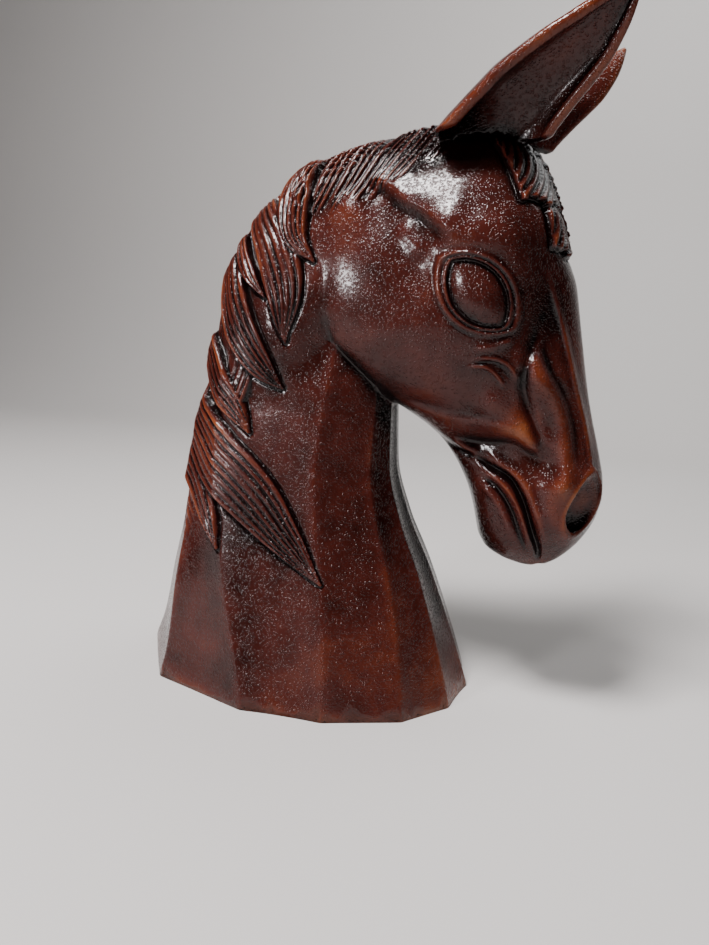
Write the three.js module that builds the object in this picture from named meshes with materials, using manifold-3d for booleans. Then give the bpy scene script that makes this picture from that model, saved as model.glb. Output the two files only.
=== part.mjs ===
// A horse's head and neck, carved as one piece and standing on its own flared neck.
// Millimetres. +X is the way the horse looks, +Y is its left, +Z is up.
// The origin is the centre of the flat underside.

import * as THREE from 'three';
import { mergeVertices } from 'three/addons/utils/BufferGeometryUtils.js';
import Module from 'manifold-3d';

const wasm = await Module();
wasm.setup();

// Driving sizes of the neck
const FOOT_LENGTH = 210;       // flared foot, front to back
const FOOT_WIDTH = 146;
const THROAT_HEIGHT = 165;     // where the jaw leaves the neck
const THROAT_X = 52;           // front of the neck there
const THROAT_REACH = 34;       // how far the neck's front goes up under the cheek from there
const NECK_DEPTH = 120;        // throat to crest, front to back
const NECK_WIDTH = 82;         // side to side at the throat
const NECK_TURN = 116;         // degrees that the neck turns over the throat to the poll

// Driving sizes of the head
const HEAD_LENGTH = 243;       // poll to lips
const HEAD_WIDTH = 86;         // across the eyes
const HEAD_LEAN = 14;          // degrees that the head's axis leans forward of plumb
const POLL_X = 80;             // start of the head's axis
const POLL_Z = 318;

// Driving sizes of the ears
const EAR_LENGTH = 94;
const EAR_WIDTH = 50;
const EAR_DEPTH = 21;          // of the scoop, over all
const EAR_WALL = 4.5;
const EAR_SPREAD = 24;         // ear's axis from the middle, at its root
const EAR_LEAN = 58.5;         // degrees that an ear leans forward of the head's axis
const EAR_SPLAY = 11.5;        // degrees that an ear leans outward
const EAR_OPENING = 42;        // degrees that the opening is turned forward of sideways

// Carving
const LOCK_RISE = 3.8;         // how far a lock of the mane stands out of the neck
const LOCK_ROOT_DEPTH = 5;     // how far it is sunk in the neck
const STRAND_DEPTH = 1.5;      // furrows between a lock's strands
const EYE_LENGTH = 40;         // corner to corner of the eyeball
const EYE_HEIGHT = 25;
const EYE_RISE = 3;            // how far the eyeball stands out
const EYE_SINK = 0.6;          // how far the eyeball's edge is sunk in the cheek
const LID_RADIUS = 2.2;        // rolled lid round the eyeball
const LID_MARGIN = 3;          // how much longer and higher than the eyeball the lid is
const LID_LIFT = 0.6;          // its centre line above the skin
const FOLD_SINK = 0.4;         // centre line of the lid's outer fold below the skin
const LID_GAP = 7;             // from the eyeball's edge to the outer fold of the lid
const LEDGE_RADIUS = 5;        // cord under the brow ledge
const LEDGE_SINK = 1;
const CHEEK_GROOVE = 3.5;      // depths of the grooves in the side of the face
const NOSE_GROOVE = 3;
const LIP_GROOVE = 4;
const CHIN_GROOVE = 3;
const MOUTH_DEPTH = 3.6;       // of the groove between the lips
const NOSTRIL_LENGTH = 31;
const NOSTRIL_WIDTH = 18;
const NOSTRIL_DEPTH = 5;
const NOSTRIL_LIFT = 1;        // centre of the hollow outside of the skin
const LIP_NOTCH = 4;           // depth of the notch where the lips meet in front

const WOOD = { color: 0x3a140c, roughness: 0.35, metalness: 0.0 };

const DEGREE = Math.PI / 180;
const mix = (a, b, share) => a + (b - a) * share;
const clamp01 = (x) => Math.min(1, Math.max(0, x));
const ease = (a, b, x) => {
  const s = clamp01((x - a) / (b - a));
  return s * s * (3 - 2 * s);
};

// Value of a column of rows at a station. The rows' first column is the station, and the curve is smooth.
function along(rows, column, station) {
  const last = rows.length - 1;
  if (station <= rows[0][0]) return rows[0][column];
  if (station >= rows[last][0]) return rows[last][column];
  let i = 0;
  while (station > rows[i + 1][0]) i += 1;
  const slope = (a, b) => (rows[b][column] - rows[a][column]) / (rows[b][0] - rows[a][0]);
  const tangent = (k) => {
    if (k === 0) return slope(0, 1);
    if (k === last) return slope(last - 1, last);
    const before = slope(k - 1, k);
    const after = slope(k, k + 1);
    return before * after <= 0 ? 0 : (2 * before * after) / (before + after);
  };
  const span = rows[i + 1][0] - rows[i][0];
  const s = (station - rows[i][0]) / span;
  const s2 = s * s;
  const s3 = s2 * s;
  return (2 * s3 - 3 * s2 + 1) * rows[i][column] + (s3 - 2 * s2 + s) * span * tangent(i)
    + (3 * s2 - 2 * s3) * rows[i + 1][column] + (s3 - s2) * span * tangent(i + 1);
}

// A place up the neck is its run: 0 at the foot, 1 at the throat and 2 at the poll.

// The neck below the throat: share of the throat's height, then how much of the foot's flare is left
// at the crest, at the front and at the sides.
const FLARE = [
  [0.00, 1.00, 1.00, 1.00],
  [0.11, 0.82, 0.88, 0.86],
  [0.28, 0.66, 0.68, 0.66],
  [0.45, 0.52, 0.46, 0.47],
  [0.62, 0.38, 0.21, 0.29],
  [0.80, 0.20, 0.04, 0.13],
  [1.00, 0.00, 0.00, 0.00],
];

// The neck above the throat: share of its turn, then its depth and width as shares of those at the throat.
const ARCH = [
  [0.00, 1.00, 1.00],
  [0.11, 0.98, 0.98],
  [0.22, 1.01, 0.97],
  [0.33, 1.07, 0.95],
  [0.47, 1.14, 0.92],
  [0.60, 1.185, 0.87],
  [0.76, 1.21, 0.79],
  [0.90, 1.20, 0.66],
  [1.00, 1.16, 0.50],
];

// Ridges between the flat cuts of the neck: angle round from the crest, at the foot and at the throat.
const RIDGES = [
  [0, 0],
  [47, 30],
  [84, 54],
  [109, 116],
  [134, 148],
  [156, 166],
  [180, 180],
];

// A cross-section of the neck: its two ends in the middle plane and its half width.
function neckSection(run) {
  const foot = FOOT_LENGTH / 2;
  if (run <= 1) {
    const height = THROAT_HEIGHT * run;
    return {
      crest: [mix(THROAT_X - NECK_DEPTH, -foot, along(FLARE, 1, run)), height],
      front: [mix(THROAT_X, foot, along(FLARE, 2, run)), height],
      half: mix(NECK_WIDTH, FOOT_WIDTH, along(FLARE, 3, run)) / 2,
    };
  }
  const share = run - 1;
  const turn = share * NECK_TURN * DEGREE;
  const reach = NECK_DEPTH * along(ARCH, 1, share);
  const start = NECK_DEPTH * 0.12 * ease(0, 0.2, share);
  return {
    crest: [THROAT_X - reach * Math.cos(turn), THROAT_HEIGHT + reach * Math.sin(turn)],
    front: [THROAT_X - start * Math.cos(turn), THROAT_HEIGHT + start * Math.sin(turn)],
    half: (NECK_WIDTH / 2) * along(ARCH, 2, share),
  };
}

// How much a flat cut stands in from the round section, 1 being not at all.
function facet(run, degrees) {
  const low = mix(0.85, 1, ease(0, 0.12, run));
  const strength = low * (1 - 0.4 * ease(0.6, 1, run)) * (1 - ease(1, 1.35, run));
  const side = Math.abs(degrees);
  const ridge = RIDGES.map(([foot, throat]) => mix(foot, throat, clamp01(run)));
  let k = 0;
  while (k < ridge.length - 2 && side > ridge[k + 1]) k += 1;
  const middle = (ridge[k] + ridge[k + 1]) / 2;
  const halfSpan = (ridge[k + 1] - ridge[k]) / 2;
  const chord = Math.cos(halfSpan * DEGREE) / Math.cos((side - middle) * DEGREE);
  return mix(1, chord, strength);
}

// A point of the neck's skin: degrees go round from the crest, plus being the horse's left.
function neckPoint(run, degrees, lift = 0) {
  const { crest, front, half } = neckSection(run);
  const angle = degrees * DEGREE;
  const underCheek = ease(1.03, 1.24, run);
  const power = mix(2, mix(2.25, 1.6, underCheek), ease(60, 120, Math.abs(degrees)));
  const c = Math.cos(angle);
  const s = Math.sin(angle);
  const round = (Math.abs(c) ** power + Math.abs(s) ** power) ** (-1 / power) * facet(run, degrees);
  const underLocks = ease(0.3, 0.6, run) * (1 - ease(40, 90, Math.abs(degrees)));
  const reach = Math.hypot(front[0] - crest[0], front[1] - crest[1]) / 2;
  const out = [(crest[0] - front[0]) / (2 * reach), (crest[1] - front[1]) / (2 * reach)];
  const rise = lift - 0.7 * LOCK_RISE * underLocks;
  const outward = c * (round * reach + rise);
  return new THREE.Vector3(
    (crest[0] + front[0]) / 2 + out[0] * outward,
    s * (round * half + rise),
    (crest[1] + front[1]) / 2 + out[1] * outward,
  );
}

// The head: share of its length from the poll, then as shares of its length how far the face stands forward
// of the axis, how far the jaw stands back, and where it is widest. Then the half width as a share of the
// head's width, and how square the section is towards the face and towards the jaw.
const HEAD = [
  [0.010, -0.030, 0.130, -0.080, 0.10, 2.0, 2.0],
  [0.035, 0.015, 0.220, -0.070, 0.16, 2.0, 2.2],
  [0.060, 0.062, 0.280, -0.060, 0.22, 2.0, 2.6],
  [0.085, 0.095, 0.325, -0.060, 0.275, 2.0, 3.0],
  [0.125, 0.125, 0.360, -0.050, 0.35, 2.1, 3.5],
  [0.160, 0.136, 0.380, -0.040, 0.40, 2.2, 4.0],
  [0.245, 0.151, 0.397, -0.020, 0.465, 2.5, 4.8],
  [0.330, 0.163, 0.398, -0.020, 0.490, 2.0, 4.8],
  [0.400, 0.173, 0.382, -0.020, 0.495, 1.7, 4.4],
  [0.470, 0.170, 0.340, -0.030, 0.475, 1.6, 3.6],
  [0.540, 0.167, 0.290, -0.030, 0.430, 1.7, 2.8],
  [0.590, 0.165, 0.240, -0.020, 0.380, 1.9, 2.4],
  [0.640, 0.164, 0.192, -0.010, 0.325, 1.9, 2.3],
  [0.690, 0.165, 0.160, 0.010, 0.295, 1.9, 2.2],
  [0.750, 0.168, 0.138, 0.020, 0.290, 2.0, 2.2],
  [0.800, 0.169, 0.128, 0.020, 0.300, 2.2, 2.2],
  [0.850, 0.164, 0.125, 0.015, 0.300, 2.3, 2.2],
  [0.895, 0.146, 0.125, 0.010, 0.285, 2.3, 2.2],
  [0.930, 0.122, 0.117, 0.005, 0.250, 2.2, 2.2],
  [0.960, 0.090, 0.090, 0.000, 0.205, 2.1, 2.1],
  [0.985, 0.054, 0.052, 0.000, 0.140, 2.0, 2.0],
  [1.000, 0.020, 0.020, 0.000, 0.050, 2.0, 2.0],
];

const LEAN = HEAD_LEAN * DEGREE;
const HEAD_DOWN = new THREE.Vector3(Math.sin(LEAN), 0, -Math.cos(LEAN));
const HEAD_FORWARD = new THREE.Vector3(Math.cos(LEAN), 0, Math.sin(LEAN));

// A place in the head's own frame: down from the poll, forward of the axis and to the left.
function headPlace(down, forward, left) {
  return new THREE.Vector3(POLL_X, left, POLL_Z)
    .addScaledVector(HEAD_DOWN, down)
    .addScaledVector(HEAD_FORWARD, forward);
}

function headSection(share) {
  const [face, jaw, widest] = [1, 2, 3].map((column) => HEAD_LENGTH * along(HEAD, column, share));
  return {
    face: face - widest,
    jaw: jaw + widest,
    widest,
    half: HEAD_WIDTH * along(HEAD, 4, share),
    facePower: along(HEAD, 5, share),
    jawPower: along(HEAD, 6, share),
  };
}

// Half width of the head at a place in side view, both in shares of its length.
function headHalfWidth(down, forward) {
  const { face, jaw, widest, half, facePower, jawPower } = headSection(down);
  const d = forward * HEAD_LENGTH - widest;
  const power = d > 0 ? facePower : jawPower;
  return half * Math.max(0, 1 - (Math.abs(d) / (d > 0 ? face : jaw)) ** power) ** (1 / power);
}

// Swellings and hollows of the side of the face, in side view: path points as [down, forward] in shares of
// the head's length, then half width and height as shares of it too. Plus stands out, minus is hollow.
const FACE_FORMS = [
  { name: 'brow', path: [[0.25, -0.04], [0.28, 0.05], [0.34, 0.09]], width: 0.045, height: 0.016 },
  {
    name: 'under the brow',
    path: [[0.14, -0.24], [0.24, -0.17], [0.30, -0.14]],
    width: 0.045,
    height: -0.010,
  },
  { name: 'socket', path: [[0.42, 0.115], [0.48, 0.100], [0.52, 0.080]], width: 0.036, height: -0.016 },
  { name: 'nose muscle', path: [[0.54, 0.065], [0.68, 0.110], [0.80, 0.080]], width: 0.034, height: 0.020 },
  { name: 'cheek point', path: [[0.60, -0.06], [0.65, 0.00], [0.70, 0.025]], width: 0.040, height: 0.016 },
  { name: 'lip hollow', path: [[0.70, -0.08], [0.73, 0.00], [0.76, 0.060]], width: 0.034, height: -0.012 },
  {
    name: 'nostril wing',
    path: [[0.80, 0.120], [0.86, 0.060], [0.93, 0.075]],
    width: 0.034,
    height: 0.016,
  },
  { name: 'chin', path: [[0.80, -0.090], [0.87, -0.085], [0.93, -0.060]], width: 0.040, height: 0.010 },
];

// A point of the curve that leaves a for c and bends towards b.
const bend = ([a, b, c], s) => a.map((_, k) => mix(mix(a[k], b[k], s), mix(b[k], c[k], s), s));

function distanceTo(path, place, steps = 12) {
  let nearest = Infinity;
  for (let i = 0; i <= steps; i += 1) {
    const [x, y] = bend(path, i / steps);
    nearest = Math.min(nearest, Math.hypot(place[0] - x, place[1] - y));
  }
  return nearest;
}

function faceForms(...place) {
  let rise = 0;
  for (const { path, width, height } of FACE_FORMS) {
    rise += height * Math.exp(-((distanceTo(path, place) / width) ** 2));
  }
  return rise * HEAD_LENGTH;
}

// A point of the head's skin: down is a share of its length, and degrees go round from the jaw to the face,
// plus being the horse's left.
function headPoint(down, degrees, lift = 0) {
  const { face, jaw, widest, half, facePower, jawPower } = headSection(down);
  const angle = degrees * DEGREE;
  const towardsFace = Math.abs(degrees) > 90;
  const power = towardsFace ? facePower : jawPower;
  const c = -Math.cos(angle);
  const s = Math.sin(angle);
  const round = (Math.abs(c) ** power + Math.abs(s) ** power) ** (-1 / power);
  const forward = widest + c * round * (towardsFace ? face : jaw);
  const left = s * round * half;
  const flank = ease(0.15, 0.6, Math.abs(s * round));
  const forms = Math.sign(s) * flank * faceForms(down, forward / HEAD_LENGTH);
  return headPlace(down * HEAD_LENGTH, forward + c * lift, left + forms + s * lift);
}

// A point of the head's skin found from the side: down and forward as shares of its length.
function cheekPoint(down, forward, side, lift = 0) {
  const left = side * (headHalfWidth(down, forward) + faceForms(down, forward) + lift);
  return headPlace(down * HEAD_LENGTH, forward * HEAD_LENGTH, left);
}

// Joins rings of points into one closed mesh, with a flat fan over each end.
function loft(rings) {
  const around = rings[0].length;
  const middle = (ring) => ring.reduce((sum, p) => sum.add(p), new THREE.Vector3()).divideScalar(around);
  const points = [...rings.flat(), middle(rings[0]), middle(rings[rings.length - 1])];
  const index = [];
  for (let i = 0; i < rings.length - 1; i += 1) {
    for (let j = 0; j < around; j += 1) {
      const a = i * around + j;
      const b = i * around + ((j + 1) % around);
      index.push(a, b, b + around, a, b + around, a + around);
    }
  }
  const start = points.length - 2;
  const lastRing = (rings.length - 1) * around;
  for (let j = 0; j < around; j += 1) {
    const next = (j + 1) % around;
    index.push(start, next, j);
    index.push(start + 1, lastRing + j, lastRing + next);
  }
  const geometry = new THREE.BufferGeometry();
  const numbers = points.flatMap((p) => p.toArray());
  geometry.setAttribute('position', new THREE.Float32BufferAttribute(numbers, 3));
  geometry.setIndex(index);
  return geometry;
}

function toManifold(geometry) {
  const bare = geometry.clone();
  bare.deleteAttribute('normal');
  bare.deleteAttribute('uv');
  const merged = mergeVertices(bare, 1e-4);
  const build = (triVerts) => new wasm.Manifold(new wasm.Mesh({
    numProp: 3,
    vertProperties: merged.attributes.position.array,
    triVerts,
  }));
  const index = new Uint32Array(merged.index.array);
  const solid = build(index);
  if (solid.volume() > 0) return solid;
  for (let i = 0; i < index.length; i += 3) [index[i], index[i + 1]] = [index[i + 1], index[i]];
  return build(index);
}

function toGeometry(solid) {
  const mesh = solid.getMesh();
  const geometry = new THREE.BufferGeometry();
  const positions = new Float32Array((mesh.vertProperties.length / mesh.numProp) * 3);
  for (let i = 0; i < positions.length / 3; i += 1) {
    for (let k = 0; k < 3; k += 1) positions[3 * i + k] = mesh.vertProperties[mesh.numProp * i + k];
  }
  geometry.setAttribute('position', new THREE.BufferAttribute(positions, 3));
  geometry.setIndex([...mesh.triVerts]);
  return geometry;
}

const spread = (from, to, steps) => Array.from({ length: steps + 1 }, (_, i) => mix(from, to, i / steps));

function neck() {
  const runs = [0, 0.055, ...spread(0.15, 0.6, 4), ...spread(0.72, 1, 2), ...spread(1.07, 2, 9)];
  const perCut = 2;
  const cuts = RIDGES.length - 1;
  return loft(runs.map((run) => {
    const ridge = RIDGES.map(([foot, throat]) => mix(foot, throat, clamp01(run)));
    const angles = [];
    for (let k = 0; k < cuts; k += 1) {
      for (let i = 0; i < perCut; i += 1) angles.push(mix(ridge[k], ridge[k + 1], i / perCut));
    }
    const turn = [...angles, 180, ...angles.slice(1).reverse().map((angle) => -angle)];
    return turn.map((degrees) => neckPoint(run, degrees));
  }));
}

// The top of the neck's front, which goes in under the cheek: height above the throat as a share of its
// reach, and width as a share of the width at the throat.
const UNDER_CHEEK = [
  [-4 / 17, 0.97],
  [0, 0.99],
  [7 / 17, 0.95],
  [1, 0.84],
];

function throat() {
  const right = RIDGES.map(([, degrees]) => degrees);
  const turn = [...right, ...right.slice(1, -1).reverse().map((degrees) => -degrees)];
  return loft(UNDER_CHEEK.map(([share, slim]) => turn.map((degrees) => {
    const { x, y } = neckPoint(1, degrees);
    const rise = share * THROAT_REACH;
    const short = 1 - Math.max(0, rise) / (2 * NECK_DEPTH);
    return new THREE.Vector3(THROAT_X - (THROAT_X - x) * short, y * slim, THROAT_HEIGHT + rise);
  })));
}

function head() {
  const stations = [
    0.010, 0.03, 0.055, 0.085, ...spread(0.12, 0.50, 9), ...spread(0.54, 0.92, 10), 0.95, 0.98, 1,
  ];
  const angles = spread(-180, 180, 30).slice(0, -1);
  return loft(stations.map((down) => angles.map((degrees) => headPoint(down, degrees))));
}

// A lock of hair lies on a skin, given as a function of two places and a lift. It runs on a bend from its
// root to its tip, swells in between, and its strands are ridges along it.
function lock(skin, { path, width, strands }) {
  const rings = 5;
  const step = 0.002;
  return loft(spread(0, 1, rings).map((s) => {
    const [a, b] = bend(path, s);
    const [nextA, nextB] = bend(path, s + 0.01);
    const here = skin(a, b, 0);
    const perA = skin(a + step, b, 0).sub(here).divideScalar(step);
    const perB = skin(a, b + step, 0).sub(here).divideScalar(step);
    const run = perA.clone().multiplyScalar(nextA - a).addScaledVector(perB, nextB - b);
    const across = run.normalize().cross(perA.clone().cross(perB).normalize());
    const half = ((width * NECK_DEPTH) / 2) * (0.06 + 0.94 * Math.sin(Math.PI * mix(0.28, 1, s)) ** 0.6);
    const height = LOCK_RISE * (0.4 + 0.6 * ease(0, 0.3, s)) * (1 - 0.6 * ease(0.75, 1, s));
    const moved = (offset, lift) => {
      const share = offset * half;
      return skin(
        a + (share * across.dot(perA)) / perA.lengthSq(),
        b + (share * across.dot(perB)) / perB.lengthSq(),
        lift,
      );
    };
    const top = spread(-1, 1, 2 * strands).map((offset, i) => {
      const furrow = i % 2 === 0 ? STRAND_DEPTH : 0;
      const bulge = Math.sqrt(1 - 0.8 * offset * offset);
      return moved(offset, height * bulge - furrow);
    });
    return [...top, moved(0.9, -LOCK_ROOT_DEPTH), moved(-0.9, -LOCK_ROOT_DEPTH)];
  }));
}

// Locks of the mane on one side: places on the neck as [run, degrees] from root to tip, width as a share
// of the neck's depth, and strands.
const MANE = [
  { path: [[1.81, 8], [1.76, 34], [1.67, 54]], width: 0.33, strands: 2 },
  { path: [[1.58, 8], [1.515, 40], [1.53, 82]], width: 0.20, strands: 2 },
  { path: [[1.48, 10], [1.515, 92], [1.265, 97]], width: 0.22, strands: 3 },
  { path: [[1.30, 8], [1.235, 76], [1.07, 98]], width: 0.22, strands: 3 },
  { path: [[1.16, 6], [1.06, 50], [0.89, 77]], width: 0.18, strands: 2 },
  { path: [[0.98, 4], [0.78, 84], [0.42, 113]], width: 0.31, strands: 4 },
  { path: [[0.835, 4], [0.68, 40], [0.485, 68]], width: 0.20, strands: 2 },
];

// Tufts of the forelock, one below the other: places on the head as [share of its length, degrees].
const FORELOCK = [
  { path: [[0.07, 180], [0.15, 180], [0.245, 180]], width: 0.44, strands: 3 },
  { path: [[0.18, 180], [0.26, 180], [0.36, 180]], width: 0.32, strands: 2 },
];

// A three-sided cord along a bend on the side of the head, thinning out to both ends. Its edge faces out
// where it is a ridge and in where it cuts a groove.
function cord(path, radius, side, facing, lift = 0) {
  const rings = 6;
  const at = (s) => cheekPoint(...bend(path, s), side, lift);
  return loft(spread(0, 1, rings).map((s) => {
    const centre = at(s);
    const run = at(s + 0.02).sub(at(s - 0.02)).normalize();
    const out = new THREE.Vector3(0, side, 0).addScaledVector(run, -side * run.y).normalize();
    const across = run.clone().cross(out);
    const r = radius * (0.25 + 0.75 * Math.sin(Math.PI * clamp01(s)) ** 0.6);
    return [0, 120, 240].map((degrees) => centre.clone()
      .addScaledVector(out, facing * r * Math.cos(degrees * DEGREE))
      .addScaledVector(across, facing * r * Math.sin(degrees * DEGREE)));
  }));
}

// Ridges that stand out of the side of the head, and grooves cut in it, in shares of its length.
const FACE_RIDGES = [
  {
    name: 'brow ledge',
    path: [[0.12, -0.18], [0.21, -0.13], [0.28, -0.04]],
    radius: LEDGE_RADIUS,
    lift: -LEDGE_SINK,
  },
];
const FACE_GROOVES = [
  { name: 'cheek front', path: [[0.46, 0.070], [0.58, 0.030], [0.76, 0.065]], radius: CHEEK_GROOVE },
  { name: 'nose', path: [[0.50, 0.085], [0.62, 0.125], [0.79, 0.120]], radius: NOSE_GROOVE },
  { name: 'under the cheek', path: [[0.54, -0.27], [0.60, -0.20], [0.65, -0.10]], radius: CHEEK_GROOVE },
  { name: 'above the lip', path: [[0.66, -0.145], [0.695, -0.020], [0.745, 0.055]], radius: LIP_GROOVE },
  { name: 'mouth', path: [[0.715, -0.075], [0.79, 0.010], [0.965, 0.010]], radius: MOUTH_DEPTH },
  { name: 'chin', path: [[0.69, -0.140], [0.76, -0.105], [0.80, -0.055]], radius: CHIN_GROOVE },
];

// The eye is an almond that leans forward as it goes down.
const EYE_CENTRE = [0.379, -0.021];
const EYE_SLANT = 27.6;

// A place on an almond round the eye, from its own length and height, with its corners drawn out.
function almond(length, height, turn) {
  const x = (length / 2) * Math.cos(turn);
  const y = (height / 2) * Math.sin(turn) * Math.abs(Math.sin(turn)) ** 0.2;
  const slant = EYE_SLANT * DEGREE;
  return [
    EYE_CENTRE[0] + (x * Math.cos(slant) - y * Math.sin(slant)) / HEAD_LENGTH,
    EYE_CENTRE[1] + (x * Math.sin(slant) + y * Math.cos(slant)) / HEAD_LENGTH,
  ];
}

// A closed cord round the eye.
function lid(length, height, radius, side, lift) {
  const steps = 12;
  const around = 4;
  const at = (i) => cheekPoint(...almond(length, height, (2 * Math.PI * i) / steps), side, lift);
  const points = [];
  for (let i = 0; i < steps; i += 1) {
    const centre = at(i);
    const run = at(i + 0.5).sub(at(i - 0.5)).normalize();
    const out = new THREE.Vector3(0, side, 0).addScaledVector(run, -side * run.y).normalize();
    const across = run.clone().cross(out);
    for (let j = 0; j < around; j += 1) {
      const turn = (2 * Math.PI * j) / around;
      points.push(centre.clone()
        .addScaledVector(out, radius * Math.cos(turn))
        .addScaledVector(across, radius * Math.sin(turn)));
    }
  }
  const index = [];
  const count = steps * around;
  for (let i = 0; i < steps; i += 1) {
    for (let j = 0; j < around; j += 1) {
      const a = i * around + j;
      const b = i * around + ((j + 1) % around);
      const c = (a + around) % count;
      const d = (b + around) % count;
      index.push(a, b, d, a, d, c);
    }
  }
  const geometry = new THREE.BufferGeometry();
  const numbers = points.flatMap((p) => p.toArray());
  geometry.setAttribute('position', new THREE.Float32BufferAttribute(numbers, 3));
  geometry.setIndex(index);
  return geometry;
}

function eyeball(side) {
  const rings = [
    [1.02, -2],
    [1.0, 0],
    [0.7, 0.7],
    [0.25, 1],
  ];
  return loft(rings.map(([share, rise]) => spread(0, 360, 12).slice(0, -1).map((degrees) => {
    const place = almond(share * EYE_LENGTH, share * EYE_HEIGHT, degrees * DEGREE);
    return cheekPoint(...place, side, rise * EYE_RISE - EYE_SINK);
  })));
}

// A nostril is an oval hollow on the front corner of the muzzle.
const NOSTRIL_CENTRE = [0.858, 0.122];
const NOSTRIL_SLANT = -38;

function nostril(side) {
  const geometry = new THREE.SphereGeometry(1, 10, 6);
  const down = HEAD_DOWN.clone();
  const slant = NOSTRIL_SLANT * DEGREE;
  const long = down.clone().multiplyScalar(Math.cos(slant)).addScaledVector(HEAD_FORWARD, Math.sin(slant));
  const wide = down.clone().multiplyScalar(-Math.sin(slant)).addScaledVector(HEAD_FORWARD, Math.cos(slant));
  const flat = new THREE.Vector3(0, side, 0).addScaledVector(wide, 0.55).normalize();
  const across = long.clone().cross(flat);
  const centre = cheekPoint(...NOSTRIL_CENTRE, side, NOSTRIL_LIFT);
  geometry.applyMatrix4(new THREE.Matrix4()
    .makeBasis(
      long.multiplyScalar(NOSTRIL_LENGTH / 2),
      flat.multiplyScalar(NOSTRIL_DEPTH),
      across.multiplyScalar(NOSTRIL_WIDTH / 2),
    )
    .setPosition(centre));
  return geometry;
}

// An ear is a pointed scoop: its section is a crescent, open outward and forward. Share of its length from
// the root, then its width and depth as shares of the widest, and its sway forward as a share of its width.
const EAR_FORM = [
  [0.00, 1.00, 1.00, 0.00],
  [0.20, 0.96, 0.95, 0.00],
  [0.32, 0.89, 0.85, -0.02],
  [0.45, 0.80, 0.74, -0.01],
  [0.58, 0.71, 0.62, 0.01],
  [0.70, 0.59, 0.48, 0.03],
  [0.82, 0.42, 0.34, 0.03],
  [0.92, 0.23, 0.20, 0.02],
  [1.00, 0.04, 0.06, 0.00],
];
const EAR_ROOT = [0.099, 0.029];     // where its axis meets the head, in shares of the head's length

function ear(side) {
  const lean = EAR_LEAN * DEGREE;
  const splay = EAR_SPLAY * DEGREE;
  const turn = EAR_OPENING * DEGREE;
  const blend = (a, b, angle) => {
    const part = a.clone().multiplyScalar(Math.cos(angle));
    return part.addScaledVector(b, Math.sin(angle));
  };
  const left = new THREE.Vector3(0, side, 0);
  const across = blend(HEAD_FORWARD, HEAD_DOWN, lean);
  const axis = blend(blend(HEAD_DOWN.clone().negate(), HEAD_FORWARD, lean), left, splay);
  const outward = left.clone().addScaledVector(axis, -left.dot(axis)).normalize();
  const opening = blend(outward, across, turn);
  const breadth = blend(across, outward, -turn);
  const root = headPlace(EAR_ROOT[0] * HEAD_LENGTH, EAR_ROOT[1] * HEAD_LENGTH, side * EAR_SPREAD);
  const arc = spread(-90, 90, 6);
  return loft([-0.2, -0.1, ...spread(0, 1, 8)].map((share) => {
    const s = clamp01(share);
    const width = (EAR_WIDTH / 2) * along(EAR_FORM, 1, s);
    const depth = EAR_DEPTH * along(EAR_FORM, 2, s);
    const wall = Math.min(EAR_WALL, 0.8 * width, 0.8 * depth);
    const centre = root.clone()
      .addScaledVector(axis, share * EAR_LENGTH)
      .addScaledVector(across, EAR_WIDTH * along(EAR_FORM, 3, s));
    const at = (degrees, inset) => centre.clone()
      .addScaledVector(breadth, (width - inset) * Math.sin(degrees * DEGREE))
      .addScaledVector(opening, -(depth - inset) * Math.cos(degrees * DEGREE));
    return [...arc.map((d) => at(d, 0)), ...[...arc].reverse().map((d) => at(d, wall))];
  }));
}

// A notch across the front of the muzzle, where the lips meet.
function lipNotch() {
  const reach = HEAD_WIDTH / 4;
  return loft([-reach, reach].map((left) => [
    headPlace(HEAD_LENGTH - LIP_NOTCH, 0, left),
    headPlace(HEAD_LENGTH + LIP_NOTCH, -1.6 * LIP_NOTCH, left),
    headPlace(HEAD_LENGTH + LIP_NOTCH, 1.6 * LIP_NOTCH, left),
  ]));
}

const mirrored = (side, { path, ...rest }) => ({ path: path.map(([a, b]) => [a, side * b]), ...rest });
const added = [throat(), head()];
const cut = [lipNotch()];
for (const side of [1, -1]) {
  added.push(...MANE.map((entry) => lock(neckPoint, mirrored(side, entry))));
  added.push(...FACE_RIDGES.map(({ path, radius, lift }) => cord(path, radius, side, 1, lift)));
  added.push(ear(side), eyeball(side));
  added.push(lid(EYE_LENGTH + LID_MARGIN, EYE_HEIGHT + LID_MARGIN, LID_RADIUS, side, LID_LIFT));
  added.push(lid(EYE_LENGTH + 2 * LID_GAP, EYE_HEIGHT + 2 * LID_GAP, LID_RADIUS, side, -FOLD_SINK));
  cut.push(...FACE_GROOVES.map(({ path, radius }) => cord(path, radius, side, -1)), nostril(side));
}
added.push(...FORELOCK.map((entry) => lock(headPoint, entry)));

let bust = toManifold(neck());
for (const geometry of added) bust = bust.add(toManifold(geometry));
for (const geometry of cut) bust = bust.subtract(toManifold(geometry));

const sculpture = new THREE.Group();
const mesh = new THREE.Mesh(toGeometry(bust), new THREE.MeshStandardMaterial(WOOD));
mesh.name = 'horse_head_bust';
sculpture.add(mesh);

export default sculpture;
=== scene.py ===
"""A horse's head and neck carved in one piece, standing on its own flared neck.

The skin is worked out as one smooth form, in millimetres, from the sizes in the sidebar and from
shares of them, and the mesh is laid on it. +X is the way the horse looks, +Y is its left, +Z is up.
"""

import math

import bpy
import numpy as np
from bpy.props import FloatProperty, FloatVectorProperty, IntProperty, PointerProperty
from bpy.types import Operator, Panel, PropertyGroup
from mathutils import Matrix, Vector


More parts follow.
